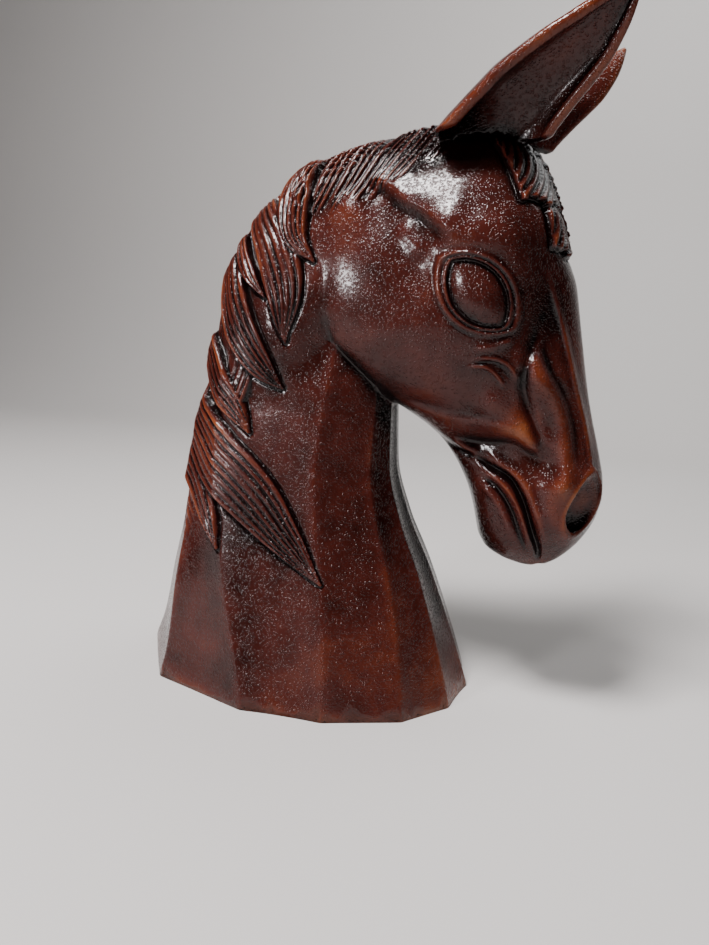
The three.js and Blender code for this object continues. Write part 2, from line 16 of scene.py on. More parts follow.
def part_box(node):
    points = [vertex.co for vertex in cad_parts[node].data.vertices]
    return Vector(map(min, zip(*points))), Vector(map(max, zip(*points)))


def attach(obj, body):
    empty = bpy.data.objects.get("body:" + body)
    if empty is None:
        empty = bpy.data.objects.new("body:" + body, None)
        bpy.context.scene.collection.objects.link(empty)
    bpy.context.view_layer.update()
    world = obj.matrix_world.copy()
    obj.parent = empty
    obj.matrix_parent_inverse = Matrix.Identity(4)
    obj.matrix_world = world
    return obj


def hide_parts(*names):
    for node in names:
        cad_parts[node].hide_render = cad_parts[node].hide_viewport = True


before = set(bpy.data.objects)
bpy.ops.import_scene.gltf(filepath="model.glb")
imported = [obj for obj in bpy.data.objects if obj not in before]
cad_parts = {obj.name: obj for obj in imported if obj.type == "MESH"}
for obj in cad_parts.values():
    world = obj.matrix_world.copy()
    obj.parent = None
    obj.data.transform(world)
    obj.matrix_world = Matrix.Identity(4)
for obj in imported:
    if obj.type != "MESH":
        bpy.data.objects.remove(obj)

bl_info = {
    "name": "Horse head bust",
    "version": (1, 0, 0),
    "blender": (4, 5, 0),
    "location": "3D View > Sidebar > Horse",
    "description": "Builds a carved and lacquered horse head bust on a pale floor",
    "category": "Object",
}

MM = 0.001

# In the tables and values here, sizes are in millimetres and angles in degrees, unless it says otherwise.

# The neck below the throat: share of the throat's height, then how much of the foot's flare is left
# at the crest, at the front and at the sides.
FLARE = [
    (0.00, 1.00, 1.00, 1.00),
    (0.11, 0.82, 0.88, 0.86),
    (0.28, 0.66, 0.68, 0.66),
    (0.45, 0.52, 0.46, 0.47),
    (0.62, 0.38, 0.21, 0.29),
    (0.80, 0.20, 0.04, 0.13),
    (1.00, 0.00, 0.00, 0.00),
]

# The neck above the throat: share of its turn, then depth and width as shares of those at the throat.
# Its front moves off the throat's corner by a share of the throat's depth, within a share of its turn.
ARCH = [
    (0.00, 1.00, 1.00),
    (0.11, 0.98, 0.98),
    (0.22, 1.01, 0.97),
    (0.33, 1.07, 0.95),
    (0.47, 1.14, 0.92),
    (0.60, 1.185, 0.87),
    (0.76, 1.21, 0.79),
    (0.90, 1.20, 0.66),
    (1.00, 1.16, 0.50),
]
FRONT_SHARE = 0.12
FRONT_TURN = 0.2

# How square the neck's section is in front, lower down and under the cheek.
FRONT_POWERS = (2.25, 1.6)

# Cells of the neck's maps to a unit of run and to a degree. The run is 0 at the foot, 1 at the throat
# and 2 at the poll.
RUN_CELLS = 450
TURN_CELLS = 2

# Ridges between the flat cuts of the neck: degrees round from the crest, at the foot and at the throat.
# Then how far the cuts are hollowed.
RIDGES = [(0, 0), (47, 30), (84, 54), (109, 116), (134, 148), (156, 166), (180, 180)]
CUT_HOLLOW = 0.9

# The throat: how far up it goes in under the cheek, how it narrows, and how softly it meets the neck.
THROAT_REACH = 34
THROAT_TAPER = 0.003
THROAT_SLIM = 0.06
THROAT_JOIN = 3

# The head: share of its length from the poll, then as shares of its length how far the face stands
# forward of the axis, how far the jaw stands back, and where it is widest. Then the half width as a
# share of the head's width, and how square the section is towards the face and towards the jaw.
HEAD = [
    (0.010, -0.030, 0.130, -0.080, 0.10, 2.0, 2.0),
    (0.035, 0.015, 0.220, -0.070, 0.16, 2.0, 2.2),
    (0.060, 0.062, 0.280, -0.060, 0.22, 2.0, 2.6),
    (0.085, 0.095, 0.325, -0.060, 0.275, 2.0, 3.0),
    (0.125, 0.125, 0.360, -0.050, 0.35, 2.1, 3.5),
    (0.160, 0.136, 0.380, -0.040, 0.40, 2.2, 4.0),
    (0.245, 0.151, 0.397, -0.020, 0.465, 2.5, 4.8),
    (0.330, 0.163, 0.398, -0.020, 0.490, 2.0, 4.8),
    (0.400, 0.173, 0.382, -0.020, 0.495, 1.7, 4.4),
    (0.470, 0.170, 0.340, -0.030, 0.475, 1.6, 3.6),
    (0.540, 0.167, 0.290, -0.030, 0.430, 1.7, 2.8),
    (0.590, 0.165, 0.240, -0.020, 0.380, 1.9, 2.4),
    (0.640, 0.164, 0.192, -0.010, 0.325, 1.9, 2.3),
    (0.690, 0.165, 0.160, 0.010, 0.295, 1.9, 2.2),
    (0.750, 0.168, 0.138, 0.020, 0.290, 2.0, 2.2),
    (0.800, 0.169, 0.128, 0.020, 0.300, 2.2, 2.2),
    (0.850, 0.164, 0.125, 0.015, 0.300, 2.3, 2.2),
    (0.895, 0.146, 0.125, 0.010, 0.285, 2.3, 2.2),
    (0.930, 0.122, 0.117, 0.005, 0.250, 2.2, 2.2),
    (0.960, 0.090, 0.090, 0.000, 0.205, 2.1, 2.1),
    (0.985, 0.054, 0.052, 0.000, 0.140, 2.0, 2.0),
    (1.000, 0.020, 0.020, 0.000, 0.050, 2.0, 2.0),
]

# An ear: share of its length from the root, then width and depth as shares of the widest, and its
# sway forward as a share of its width.
EAR = [
    (0.00, 1.00, 1.00, 0.00),
    (0.20, 0.96, 0.95, 0.00),
    (0.32, 0.89, 0.85, -0.02),
    (0.45, 0.80, 0.74, -0.01),
    (0.58, 0.71, 0.62, 0.01),
    (0.70, 0.59, 0.48, 0.03),
    (0.82, 0.42, 0.34, 0.03),
    (0.92, 0.23, 0.20, 0.02),
    (1.00, 0.04, 0.06, 0.00),
]

# An ear's root, as shares of the head's length down from the poll and forward of the head's axis. How
# much thicker its rim is than its wall, and what share of its length it goes on below its root.
EAR_ROOT = (0.099, 0.029)
EAR_RIM = 1.25
EAR_FOOT = 0.2

# Places on the side of the head are down from the poll and forward of the head's axis, for a head of
# the length in the sidebar.

# Cells of the head's maps to a millimetre or a degree, the place where the map of its side starts, how
# deep that map is, and the x at which the poll's map starts.
MAP_CELLS = 2
FACE_LOW = (-8.0, -115.0)
FACE_DEPTH = 180
POLL_START = -20

# Broad swellings and hollows: path, half width and height.
FACE_FORMS = {
    "brow": ([(61, -10), (68, 12), (83, 22)], 11, 3.9),
    "under the brow ledge": ([(36, -52), (58, -39), (73, -34)], 10, -2.4),
    "cheek top": ([(27, -78), (32, -62)], 13, 4.0),
    "jaw joint": ([(55, -35), (63, -31)], 6, 2.4),
    "socket": ([(84, 27), (104, 26), (124, 20)], 9, -4.4),
    "nose muscle": ([(131, 16), (165, 27), (194, 19)], 8, 4.9),
    "cheek point": ([(150, -8), (161, 2), (170, 7)], 9, 4.6),
    "lip hollow": ([(170, -19), (177, 0), (185, 15)], 8, -2.9),
    "nostril wing": ([(194, 29), (209, 15), (226, 18)], 8, 3.9),
    "chin": ([(194, -22), (211, -21), (226, -15)], 10, 2.4),
}

# Ridges and grooves on the side of the head: path, half width and height.
FACE_LINES = {
    "cheek front groove": ([(112, 20), (128, 13), (140, 9), (151, 9), (164, 11), (184, 15)], 2.6, -2.6),
    "nose groove": ([(120, 20), (136, 23), (144, 26), (155, 29), (168, 30), (190, 29)], 2.4, -2.2),
    "nose muscle crest": ([(130, 16), (143, 19), (151, 22), (162, 24), (188, 23), (203, 15)], 4.5, 1.5),
    "nasal edge": ([(88, 29), (116, 32), (143, 34), (170, 36), (196, 36)], 1.6, 1.7),
    "first wrinkle": ([(126, -17), (128, -8), (133, -3), (140, 0)], 1.0, 1.3),
    "second wrinkle": ([(123, -11), (125, -2), (130, 4), (137, 7)], 1.0, 1.3),
    "between the wrinkles": ([(125, -14), (126, -5), (131, 1), (138, 4)], 1.2, -0.5),
    "under the lid": ([(118, -12), (119, -2), (117, 8)], 2.0, 1.2),
    "above the lip": ([(160, -35), (167, -18), (170, -2), (176, 5), (183, 12)], 3.2, -2.4),
    "mouth": ([(175, -22), (180, -16), (188, -6), (201, -1), (218, 1), (230, 2), (241, 0)], 1.7, -3.4),
    "upper lip edge": ([(172, -15), (180, -9), (189, 0), (201, 4), (215, 6), (228, 7)], 2.2, 1.3),
    "lower lip edge": ([(182, -19), (189, -11), (200, -5), (214, -2), (228, -1)], 1.4, 1.3),
    "under the lower lip": ([(186, -20), (193, -13), (205, -8), (217, -6), (231, -4)], 1.5, -1.6),
    "lip fold": ([(189, -22), (197, -16), (207, -12), (219, -10)], 1.8, 0.9),
    "curb fold": ([(158, -46), (165, -38), (171, -29), (175, -23)], 2.0, -1.6),
    "second curb fold": ([(163, -34), (169, -27), (173, -20)], 2.0, 1.3),
}

# Edges that stand high on one side and drop on the other: path, drop, how sharp the edge is, and how
# far it fades out on the high side and on the low side. The high side is to the left along the path.
FACE_STEPS = {
    "brow ledge": ([(20, -56), (30, -44), (41, -35), (48, -27), (56, -20), (66, -12)], 5.0, 4.0, 22, 16),
    "cheek edge": (
        [(166, 8), (158, -4), (153, -19), (148, -34), (143, -44), (138, -54), (133, -64)],
        2.4, 2.8, 12, 9,
    ),
}

# The eye: its centre, and the slant of the eyeball and of the outer fold of the lids, which is longer
# and wider than the eyeball by these shares.
EYE_CENTRE = (92.2, -5.1)
EYE_SLANT = 27.6
FOLD_SLANT = 36.6
FOLD_LENGTH = 1.28
FOLD_WIDTH = 1.38

# How far the outlines are from an oval towards a leaf with two corners, and how high the outer fold is
# in front of the eye's centre and behind it.
EYE_LEAF = 0.5
FOLD_SHARES = (0.6, 1.2)

# The nostril: its centre, the slant of its long way and the tilt of its floor, then how high its rim
# stands, where as a share of its outline, and how wide.
NOSTRIL_CENTRE = (208.5, 29.6)
NOSTRIL_SLANT = -38
NOSTRIL_TILT = math.degrees(math.atan(0.55))
NOSTRIL_RIM = 1.3
RIM_PLACE = 1.16
RIM_WIDTH = 0.16

# The eye from its middle outward: place and height. 1 is the eyeball's outline and 2 the outer fold's.
EYE_PROFILE = [
    (0.00, 2.2), (0.35, 1.8), (0.65, 0.9), (0.84, -0.1), (0.98, -1.2), (1.12, -0.1), (1.28, 0.8),
    (1.44, 0.6), (1.58, 0.0), (1.74, 0.6), (1.88, 1.1), (2.00, 0.8), (2.12, 0.0), (2.24, -0.2),
    (2.40, 0.0),
]

# Places on the side of the head where the lacquer is rubbed to amber, and where the strength is below
# nothing, painted shade that darkens it: place, reach and strength.
RUBBED_AND_PAINTED_SHADE = {
    "cheek point": ((162, 4), 9, 0.30),
    "brow": ((66, -4), 11, 0.16),
    "behind the brow": ((46, -62), 14, 0.12),
    "under the eye": ((124, -34), 15, 0.10),
    "nostril": ((208, 29), 7, 0.45),
    "painted shade behind the cheek": ((68, -55), 11, -0.12),
    "painted shade under the cheek": ((124, -56), 16, -0.14),
}

# Locks of the mane on one side, from the lowest to the highest: places on the neck from root to tip
# as run, degrees round from the crest and half width, then the number of strands.
MANE = [
    ([(0.835, 8, 5), (0.79, 24, 8), (0.70, 46, 8.5), (0.60, 60, 7), (0.50, 67, 1)], 4),
    ([(1.00, 10, 9), (0.92, 28, 14), (0.82, 54, 17), (0.69, 82, 16), (0.56, 100, 10), (0.43, 112, 1)], 8),
    ([(1.16, 12, 5), (1.11, 34, 8), (1.04, 52, 8.5), (0.97, 66, 6.5), (0.90, 76, 1)], 5),
    ([(1.35, 14, 7), (1.31, 36, 10), (1.23, 60, 11), (1.15, 80, 8.5), (1.08, 95, 1)], 6),
    ([(1.40, 20, 3), (1.37, 38, 5), (1.355, 56, 4.5), (1.345, 72, 1)], 3),
    ([(1.46, 12, 8), (1.455, 38, 11), (1.45, 62, 12.5), (1.40, 82, 10.5), (1.275, 95, 1)], 6),
    ([(1.60, 6, 8), (1.56, 28, 10), (1.53, 48, 9.5), (1.51, 66, 6.5), (1.53, 81, 1)], 6),
]

# How far a lock sinks into the neck, how deep its furrows and the groove beside it are, and how far the
# neck lies back under the locks as a share of their rise.
LOCK_SINK = 1.4
FURROW = 1.6
LOCK_GROOVE = 0.9
UNDER_LOCKS = 0.7

# The fringe over the poll: how far forward of the foot's centre, and how many degrees down from the top
# of the poll its lower border lies there.
FRINGE = [(-12, 60), (4, 74), (13, 76), (27, 69), (42, 64), (53, 50), (64, 38), (78, 24), (95, 5)]

# The poll's section is an oval of this height and half width, this far below the poll at its middle.
POLL_DROP = 62
POLL_HEIGHT = 45
POLL_HALF = 38

# Tufts of the forelock, from the lowest to the highest: where it starts and ends down from the poll, how
# many degrees it reaches round to each side, its rise, and how its strands slant. They go round an axis
# this far forward of the head's.
FORELOCK = [(46, 82, 43, 3.0, 1.0), (4, 58, 65, 3.6, 1.7)]
FORELOCK_AXIS = 5

# Widths of a strand of hair on the crest, in the fringe and in the forelock, the last in degrees. The
# crest is this long from the throat to the poll.
CREST_STRAND = 5.6
FRINGE_STRAND = 4.8
FORELOCK_STRAND = 11
CREST_LENGTH = 283

# How softly head and neck join low down and at the poll, and between which heights that changes. Round
# the throat's inner corner they join more softly by an amount that ends between two reaches.
HEAD_JOIN = (1.6, 9)
JOIN_HEIGHTS = (280, 306)
CORNER = (55, 163)
CORNER_JOIN = 3
CORNER_REACH = (8, 26)

# How softly the ears, the nostrils and the notch of the lips join, between which heights the ears set
# in, the distance that stands for no ear, and how far the notch lies past the lips as a share of it.
EAR_JOIN = 3.5
NOSTRIL_JOIN = 1.5
NOTCH_JOIN = 1.0
EAR_HEIGHTS = (290, 305)
FAR = 50
NOTCH_PLACE = 0.4

ROOM = 3.1
BATCH = 200000
COARSE = 4
FLOOR_GAP = 0.4
LAST_STEP = 0.2
NORMAL_STEP = 0.35

# The lacquer's tone on open skin, and how it follows a fine bend, on ridges, and a broad bend past a
# level; a fine bend into a crease darkens it as painted shade. Then the painted shade taken away where
# the skin is shut in, as reach and weight. Pebbles are lower on edges by a share.
OPEN_TONE = 0.47
FINE_REACH = 1.4
RIDGE_TONE = 0.3
BROAD_REACH = 6.0
BROAD_TONE = 0.6
BROAD_LEVEL = 0.12
SHADES = ((1.6, 0.05), (5, 0.08), (14, 0.20), (32, 0.14), (62, 0.22))
SMOOTH_EDGES = 0.5

# Clouds and specks in the lacquer: how fine they are, and how far they change its tone and roughness.
# Then how steep a pebble is, and how much pebbles differ in height.
CLOUD_SCALE = 14
CLOUD_TONE = 0.85
CLOUD_ROUGHNESS = 0.25
SPECK_SCALE = 90
SPECK_TONE = 0.30
PEBBLE_SLOPE = 2.6
PEBBLE_SPREAD = 1.3

# The photograph's view: where the camera stands in metres, and its right and up directions.
VIEW_PLACE = (0.1357, -0.4005, 0.2087)
VIEW_RIGHT = (0.96245, 0.26757, 0.04567)
VIEW_UP = (-0.09689, 0.18150, 0.97861)


def mix(a, b, share):
    """The value that far from a to b."""
    return a + (b - a) * share


def ease(a, b, x):
    """0 before a, 1 after b and a smooth rise between."""
    s = np.clip((x - a) / (b - a), 0, 1)
    return s * s * (3 - 2 * s)


def bell(x):
    """1 at 0, falling smoothly to nothing on both sides."""
    return np.exp(-(x**2))


def unit(vectors):
    """The vectors, each at a length of 1."""
    return vectors / np.maximum(np.linalg.norm(vectors, axis=-1, keepdims=True), 1e-9)


def smooth_min(a, b, reach):
    """The lesser of two distances, rounded where they cross."""
    share = np.clip(0.5 + 0.5 * (b - a) / reach, 0, 1)
    return mix(b, a, share) - reach * share * (1 - share)


class Curve:
    """Smooth curves through rows. A row is a station and then a value for each curve."""

    def __init__(self, rows, samples=1024):
        rows = np.array(rows, float)
        station = rows[:, 0]
        gap = np.diff(station)[:, None]
        slope = np.diff(rows[:, 1:], axis=0) / gap
        before, after = slope[:-1], slope[1:]
        turns = before * after <= 0
        total = np.where(turns, 1, before + after)
        inner = np.where(turns, 0, 2 * before * after / total)
        tangent = np.vstack([slope[:1], inner, slope[-1:]])
        self.station = np.linspace(station[0], station[-1], samples)
        i = np.clip(np.searchsorted(station, self.station, "right") - 1, 0, len(gap) - 1)
        s = ((self.station - station[i]) / gap[i, 0])[:, None]
        s2, s3 = s * s, s * s * s
        self.values = (
            (2 * s3 - 3 * s2 + 1) * rows[i, 1:]
            + (s3 - 2 * s2 + s) * gap[i] * tangent[i]
            + (3 * s2 - 2 * s3) * rows[i + 1, 1:]
            + (s3 - s2) * gap[i] * tangent[i + 1]
        )

    def __call__(self, column, x):
        return np.interp(x, self.station, self.values[:, column])


def spline(points, samples):
    """Evenly shared samples of a smooth curve through points."""
    points = np.array(points, float)
    ends = np.vstack([2 * points[0] - points[1], points, 2 * points[-1] - points[-2]])
    place = np.linspace(0, len(points) - 1, samples)
    i = np.clip(place.astype(int), 0, len(points) - 2)
    s = (place - i)[:, None]
    a, b, c, d = (ends[i + k] for k in range(4))
    return b + 0.5 * s * (c - a + s * (2 * a - 5 * b + 4 * c - d + s * (3 * (b - c) + d - a)))


def sample(grid, row, column):
    """The grid's value at a fractional row and column."""
    row = np.clip(row, 0, grid.shape[0] - 1.001)
    column = np.clip(column, 0, grid.shape[1] - 1.001)
    i, j = row.astype(int), column.astype(int)
    s, t = row - i, column - j
    top = mix(grid[i, j], grid[i, j + 1], t)
    low = mix(grid[i + 1, j], grid[i + 1, j + 1], t)
    return mix(top, low, s)


def cells(low, high):
    """Places from low to high, as close as the cells of the head's maps."""
    return np.linspace(low, high, (high - low) * MAP_CELLS + 1)


def turned(a, b, degrees):
    """Two coordinates in axes that are turned by degrees."""
    c, s = math.cos(math.radians(degrees)), math.sin(math.radians(degrees))
    return a * c + b * s, b * c - a * s


def hair(phase):
    """The rounded top of a strand of hair: 1 in its middle and 0 in the furrow beside it."""
    return (0.5 - 0.5 * np.cos(2 * np.pi * phase)) ** 0.7


def rounded(grid, times=3):
    """The grid with its ridges rounded a little along each row."""
    for _ in range(times):
        wide = np.pad(grid, ((0, 0), (1, 1)), mode="edge")
        grid = (wide[:, :-2] + 2 * wide[:, 1:-1] + wide[:, 2:]) / 4
    return grid


def nearest(path, places, normals=None):
    """For each place its distance from a path, how far along it is as a share, and which side it is on:
    plus to the left in a plane, or to the side that the path's normals show in space."""
    best = np.full(places.shape[:-1], np.inf)
    along = np.zeros_like(best)
    side = np.zeros_like(best)
    for k in range(len(path) - 1):
        run = path[k + 1] - path[k]
        left = np.array([-run[1], run[0]]) if normals is None else np.cross(run, normals[k])
        offset = places - path[k]
        share = np.clip(offset @ run / (run @ run), 0, 1)
        gap = offset - share[..., None] * run
        distance = np.linalg.norm(gap, axis=-1)
        closer = distance < best
        best = np.where(closer, distance, best)
        along = np.where(closer, (k + share) / (len(path) - 1), along)
        side = np.where(closer, np.sign(gap @ left), side)
    return best, along, side


def paint_lock(height, skin, path, strands, rise, seed):
    """Lays a lock of hair in a height map. skin is the place in space of each of the map's cells, and
    path is the lock's middle in space with its half width and normal, from root to tip."""
    rng = np.random.default_rng(seed)
    middle, half = path[:, :3], np.maximum(path[:, 3], 0.3)
    reach = half.max() + 4
    low, high = middle.min(0) - reach, middle.max(0) + reach
    inside = np.all((skin > low) & (skin < high), axis=-1)
    rows, columns = np.nonzero(inside)
    best, along, side = nearest(middle, skin[rows, columns], path[:, 4:7])
    across = side * best
    half = np.interp(along * (len(middle) - 1), np.arange(len(middle)), half)
    w = across / half
    wave = 0.25 * np.sin(along * rng.uniform(5, 8) + rng.uniform(0, 6))
    q = (np.clip(w, -1, 1) + 1) / 2 * strands + wave * (1 - w * w).clip(0, 1)
    uneven = rng.uniform(0.70, 1.1, strands + 2)[np.clip(q.astype(int), 0, strands + 1)]
    worn = 0.74 + 0.26 * np.sin(along * 8 + q * 1.9 + rng.uniform(0, 6))
    crown = np.sqrt(np.clip(1 - 0.75 * w * w, 0, 1))
    full = ease(0, 0.22, along) * (1 - 0.55 * ease(0.75, 1, along))
    top = rise * full * (0.45 + 0.55 * crown)
    top = top - FURROW * worn * (1 - hair(q) * uneven) * (0.4 + 0.6 * full)
    edge = half - np.abs(across)
    ends = ease(-0.5, 0.5, best - np.abs(across) < 0.5)
    cover = ease(-0.35, 0.55, edge) * ends * ease(0, 0.12, along)
    beside = bell(np.clip(-edge, 0, None) / 1.5) * (1 - cover) * ease(0.05, 0.3, along)
    old = height[rows, columns]
    height[rows, columns] = mix(old - LOCK_GROOVE * beside, top, cover)


class Bust:
    """The skin of the whole carving. Called with points, it gives how far outside of it they are."""

    def __init__(self, sizes):
        for name in HORSE_PG_sizes.__annotations__:
            unit = MM if sizes.bl_rna.properties[name].unit == "LENGTH" else 1
            setattr(self, name, getattr(sizes, name) / unit)
        self.poll = np.array([self.poll_x, 0, self.poll_z])
        self.nostril = (self.nostril_length / 2, self.nostril_width / 2, self.nostril_depth)
        self.flare, self.arch, self.rows, self.ear_rows = (Curve(r) for r in (FLARE, ARCH, HEAD, EAR))
        self.down = np.array([math.sin(self.head_lean), 0, -math.cos(self.head_lean)])
        self.forward = np.array([math.cos(self.head_lean), 0, math.sin(self.head_lean)])
        self.make_neck_maps()
        self.make_face_maps()
        self.make_poll_map()
        self.make_forelock_map()
        self.nostril_y = self.find_nostril()

    def neck_section(self, run):
        """Crest and front in the middle plane, and the half width, of the neck's section at a run."""
        lower = np.clip(run, 0, 1)
        foot = self.foot_length / 2
        height = self.throat_height * run
        crest_x = mix(self.throat_x - self.neck_depth, -foot, self.flare(0, lower))
        front_x = mix(self.throat_x, foot, self.flare(1, lower))
        half = mix(self.neck_width, self.foot_width, self.flare(2, lower)) / 2
        share = np.clip(run - 1, 0, 1)
        turn = share * self.neck_turn
        reach = self.neck_depth * self.arch(0, share)
        start = self.neck_depth * FRONT_SHARE * ease(0, FRONT_TURN, share)
        above = run > 1
        crest_x = np.where(above, self.throat_x - reach * np.cos(turn), crest_x)
        front_x = np.where(above, self.throat_x - start * np.cos(turn), front_x)
        crest_z = np.where(above, self.throat_height + reach * np.sin(turn), height)
        front_z = np.where(above, self.throat_height + start * np.sin(turn), height)
        half = np.where(above, self.neck_width / 2 * self.arch(1, share), half)
        return crest_x, crest_z, front_x, front_z, half

    def make_neck_maps(self):
        """Maps over run and degrees: how round the neck is and how its carving stands, on each side."""
        runs = np.linspace(0, 2, 2 * RUN_CELLS + 1)
        turns = np.linspace(0, 180, 180 * TURN_CELLS + 1)
        run, turn = np.meshgrid(runs, turns, indexing="ij")
        angle = np.radians(turn)
        power = mix(2, mix(*FRONT_POWERS, ease(1.03, 1.24, run)), ease(60, 120, turn))
        c, s = np.abs(np.cos(angle)), np.abs(np.sin(angle))
        round_part = (c**power + s**power) ** (-1 / power)
        strength = mix(0.85, 1, ease(0, 0.12, run))
        strength = strength * (1 - 0.4 * ease(0.6, 1, run)) * (1 - ease(1, 1.35, run))
        chord = np.ones_like(run)
        hollow = np.zeros_like(run)
        for pair in zip(RIDGES[:-1], RIDGES[1:]):
            first, second = (mix(*ridge, np.clip(run, 0, 1)) for ridge in pair)
            middle, half = (first + second) / 2, (second - first) / 2
            here = (turn >= first) & (turn <= second)
            cut = np.cos(np.radians(half)) / np.cos(np.radians(turn - middle))
            chord = np.where(here, cut, chord)
            hollow = np.where(here, 1 - ((turn - middle) / half) ** 2, hollow)
        self.round = round_part * rounded(mix(1, chord, strength))
        under_locks = ease(0.3, 0.6, run) * (1 - ease(40, 90, turn))
        base = -UNDER_LOCKS * self.lock_rise * under_locks - CUT_HOLLOW * rounded(hollow * strength)
        crest_x, crest_z, front_x, front_z, half = self.neck_section(run)
        c, s = np.cos(angle) * self.round, np.sin(angle) * self.round
        middle_x, middle_z = (crest_x + front_x) / 2, (crest_z + front_z) / 2
        skin = np.stack(
            [middle_x + c * (crest_x - middle_x), s * half, middle_z + c * (crest_z - middle_z)], -1
        )
        normal = unit(np.cross(np.gradient(skin, axis=0), np.gradient(skin, axis=1)))
        self.neck_lift = []
        for side in range(2):
            lift = base + self.crest_strands(run, turn, side)
            for k, (path, strands) in enumerate(MANE):
                rows = spline(path, 40)
                i, j = rows[:, 0] * RUN_CELLS, rows[:, 1] * TURN_CELLS
                place = [sample(skin[..., a], i, j) for a in range(3)]
                out = [sample(normal[..., a], i, j) for a in range(3)]
                line = np.column_stack([*place, rows[:, 2], *out])
                paint_lock(lift, skin, line, strands, self.lock_rise - LOCK_SINK, 10 * side + k)
            self.neck_lift.append(lift)

    def crest_strands(self, run, turn, side):
        """Fine hair over the crest, between the locks."""
        above = self.throat_height + (run - 1) * CREST_LENGTH
        length = np.where(run < 1, run * self.throat_height, above)
        phase = (length + 1.9 * turn - 0.006 * turn**2) / CREST_STRAND + 1.3 * side
        phase = phase + 0.35 * np.sin(length / 23 + side) + 0.2 * np.sin(turn / 7 + length / 31)
        swell = 1.1 * np.sin((length + 2.2 * turn) / 17 + 2 * side)
        fade = ease(0.42, 0.62, run) * (1 - ease(26, 48, turn)) * (1 - ease(1.66, 1.76, run))
        return fade * (0.4 + 1.5 * (hair(phase) - 0.6) + swell * 0.5)

    def make_face_maps(self):
        """Maps over down and forward: broad forms of the side of the head, and its carved lines."""
        rows = int((self.head_length - 2 * FACE_LOW[0]) * MAP_CELLS)
        u, v = np.meshgrid(np.arange(rows), np.arange(FACE_DEPTH * MAP_CELLS), indexing="ij")
        places = np.stack([u, v], -1) / MAP_CELLS + FACE_LOW
        self.face_form = np.zeros(u.shape)
        for path, width, rise in FACE_FORMS.values():
            distance, _, _ = nearest(spline(path, 12), places)
            self.face_form += rise * bell(distance / width)
        self.face_lines = np.zeros(u.shape)
        for path, drop, edge, high, low in FACE_STEPS.values():
            distance, along, side = nearest(spline(path, 24), places)
            ends = ease(0, 0.2, along) * (1 - ease(0.8, 1, along))
            signed = distance * side
            raised = 0.5 * bell(np.clip(signed, 0, None) / high)
            sunk = -0.5 * bell(np.clip(-signed, 0, None) / low)
            self.face_form += drop * ends * mix(sunk, raised, ease(-edge, edge, signed))
        for path, width, rise in FACE_LINES.values():
            distance, along, _ = nearest(spline(path, 24), places)
            ends = ease(-0.05, 0.2, along) * (1 - ease(0.8, 1.05, along))
            self.face_lines += rise * ends * bell(distance / width)
        long, wide = self.eye_length / 2, self.eye_height / 2
        inner = self.eye_outline(places, EYE_SLANT, long, wide)
        outer = self.eye_outline(places, FOLD_SLANT, long * FOLD_LENGTH, wide * FOLD_WIDTH)
        between = 1 + (inner - 1) / np.maximum(inner - outer, 1e-6)
        rho = np.where(inner < 1, inner, np.where(outer < 1, between, 2 + 2 * (outer - 1)))
        end = EYE_PROFILE[-1][0]
        eye = Curve(EYE_PROFILE)(0, np.clip(rho, 0, end))
        behind = ease(0, 14, EYE_CENTRE[1] - places[..., 1])
        eye = np.where(rho > 2, eye * mix(*FOLD_SHARES, behind), eye)
        lines = eye + self.face_lines * ease(2, end, rho)
        self.face_lines = np.where(rho < end, lines, self.face_lines)

    def eye_outline(self, places, slant, long, wide):
        """How far out places are of an outline between an oval and a leaf: 1 is on it."""
        du, dv = places[..., 0] - EYE_CENTRE[0], places[..., 1] - EYE_CENTRE[1]
        along, across = turned(du, dv, slant)
        along, across = along / long, across / wide
        pointed = (np.abs(across) + np.sqrt(across**2 + 4 * along**2)) / 2
        return mix(np.hypot(along, across), pointed, EYE_LEAF)

    def in_head(self, points):
        """How far points are down from the poll and forward of the head's axis."""
        return (points - self.poll) @ self.down, (points - self.poll) @ self.forward

    def rubbed(self, points):
        """How much amber shows through at points of the side of the head, less than 0 where shade is
        painted.
        """
        u, v = self.in_head(points)
        amber = np.zeros(len(points))
        for (down, forward), reach, strength in RUBBED_AND_PAINTED_SHADE.values():
            amber += strength * bell(np.hypot(u - down, v - forward) / reach)
        return amber * ease(5, 20, np.abs(points[:, 1]))

    def make_poll_map(self):
        """The fringe over the poll, over millimetres forward and degrees down from the top."""
        self.poll_axis = self.poll[2] - POLL_DROP
        x, turn = np.meshgrid(cells(POLL_START, 100), cells(0, 110), indexing="ij")
        border = np.array(FRINGE, float)
        self.fringe = []
        for side in range(2):
            lean = mix(0.26, 0.44, ease(5, 60, x))
            phase = (x + lean * turn) / FRINGE_STRAND + 0.5 * side + 0.25 * np.sin(turn / 17 + x / 13)
            phase = phase + 0.16 * np.sin(2 * phase + side)
            number = np.floor(phase)
            ragged = 6 * np.sin(number * 2.4 + side)
            reach = np.interp(x + lean * turn - lean * 55, border[:, 0], border[:, 1]) + ragged
            cover = ease(0, 9, reach - turn) * ease(-12, 0, x)
            self.fringe.append(cover * (1.7 * hair(phase) - 0.2))

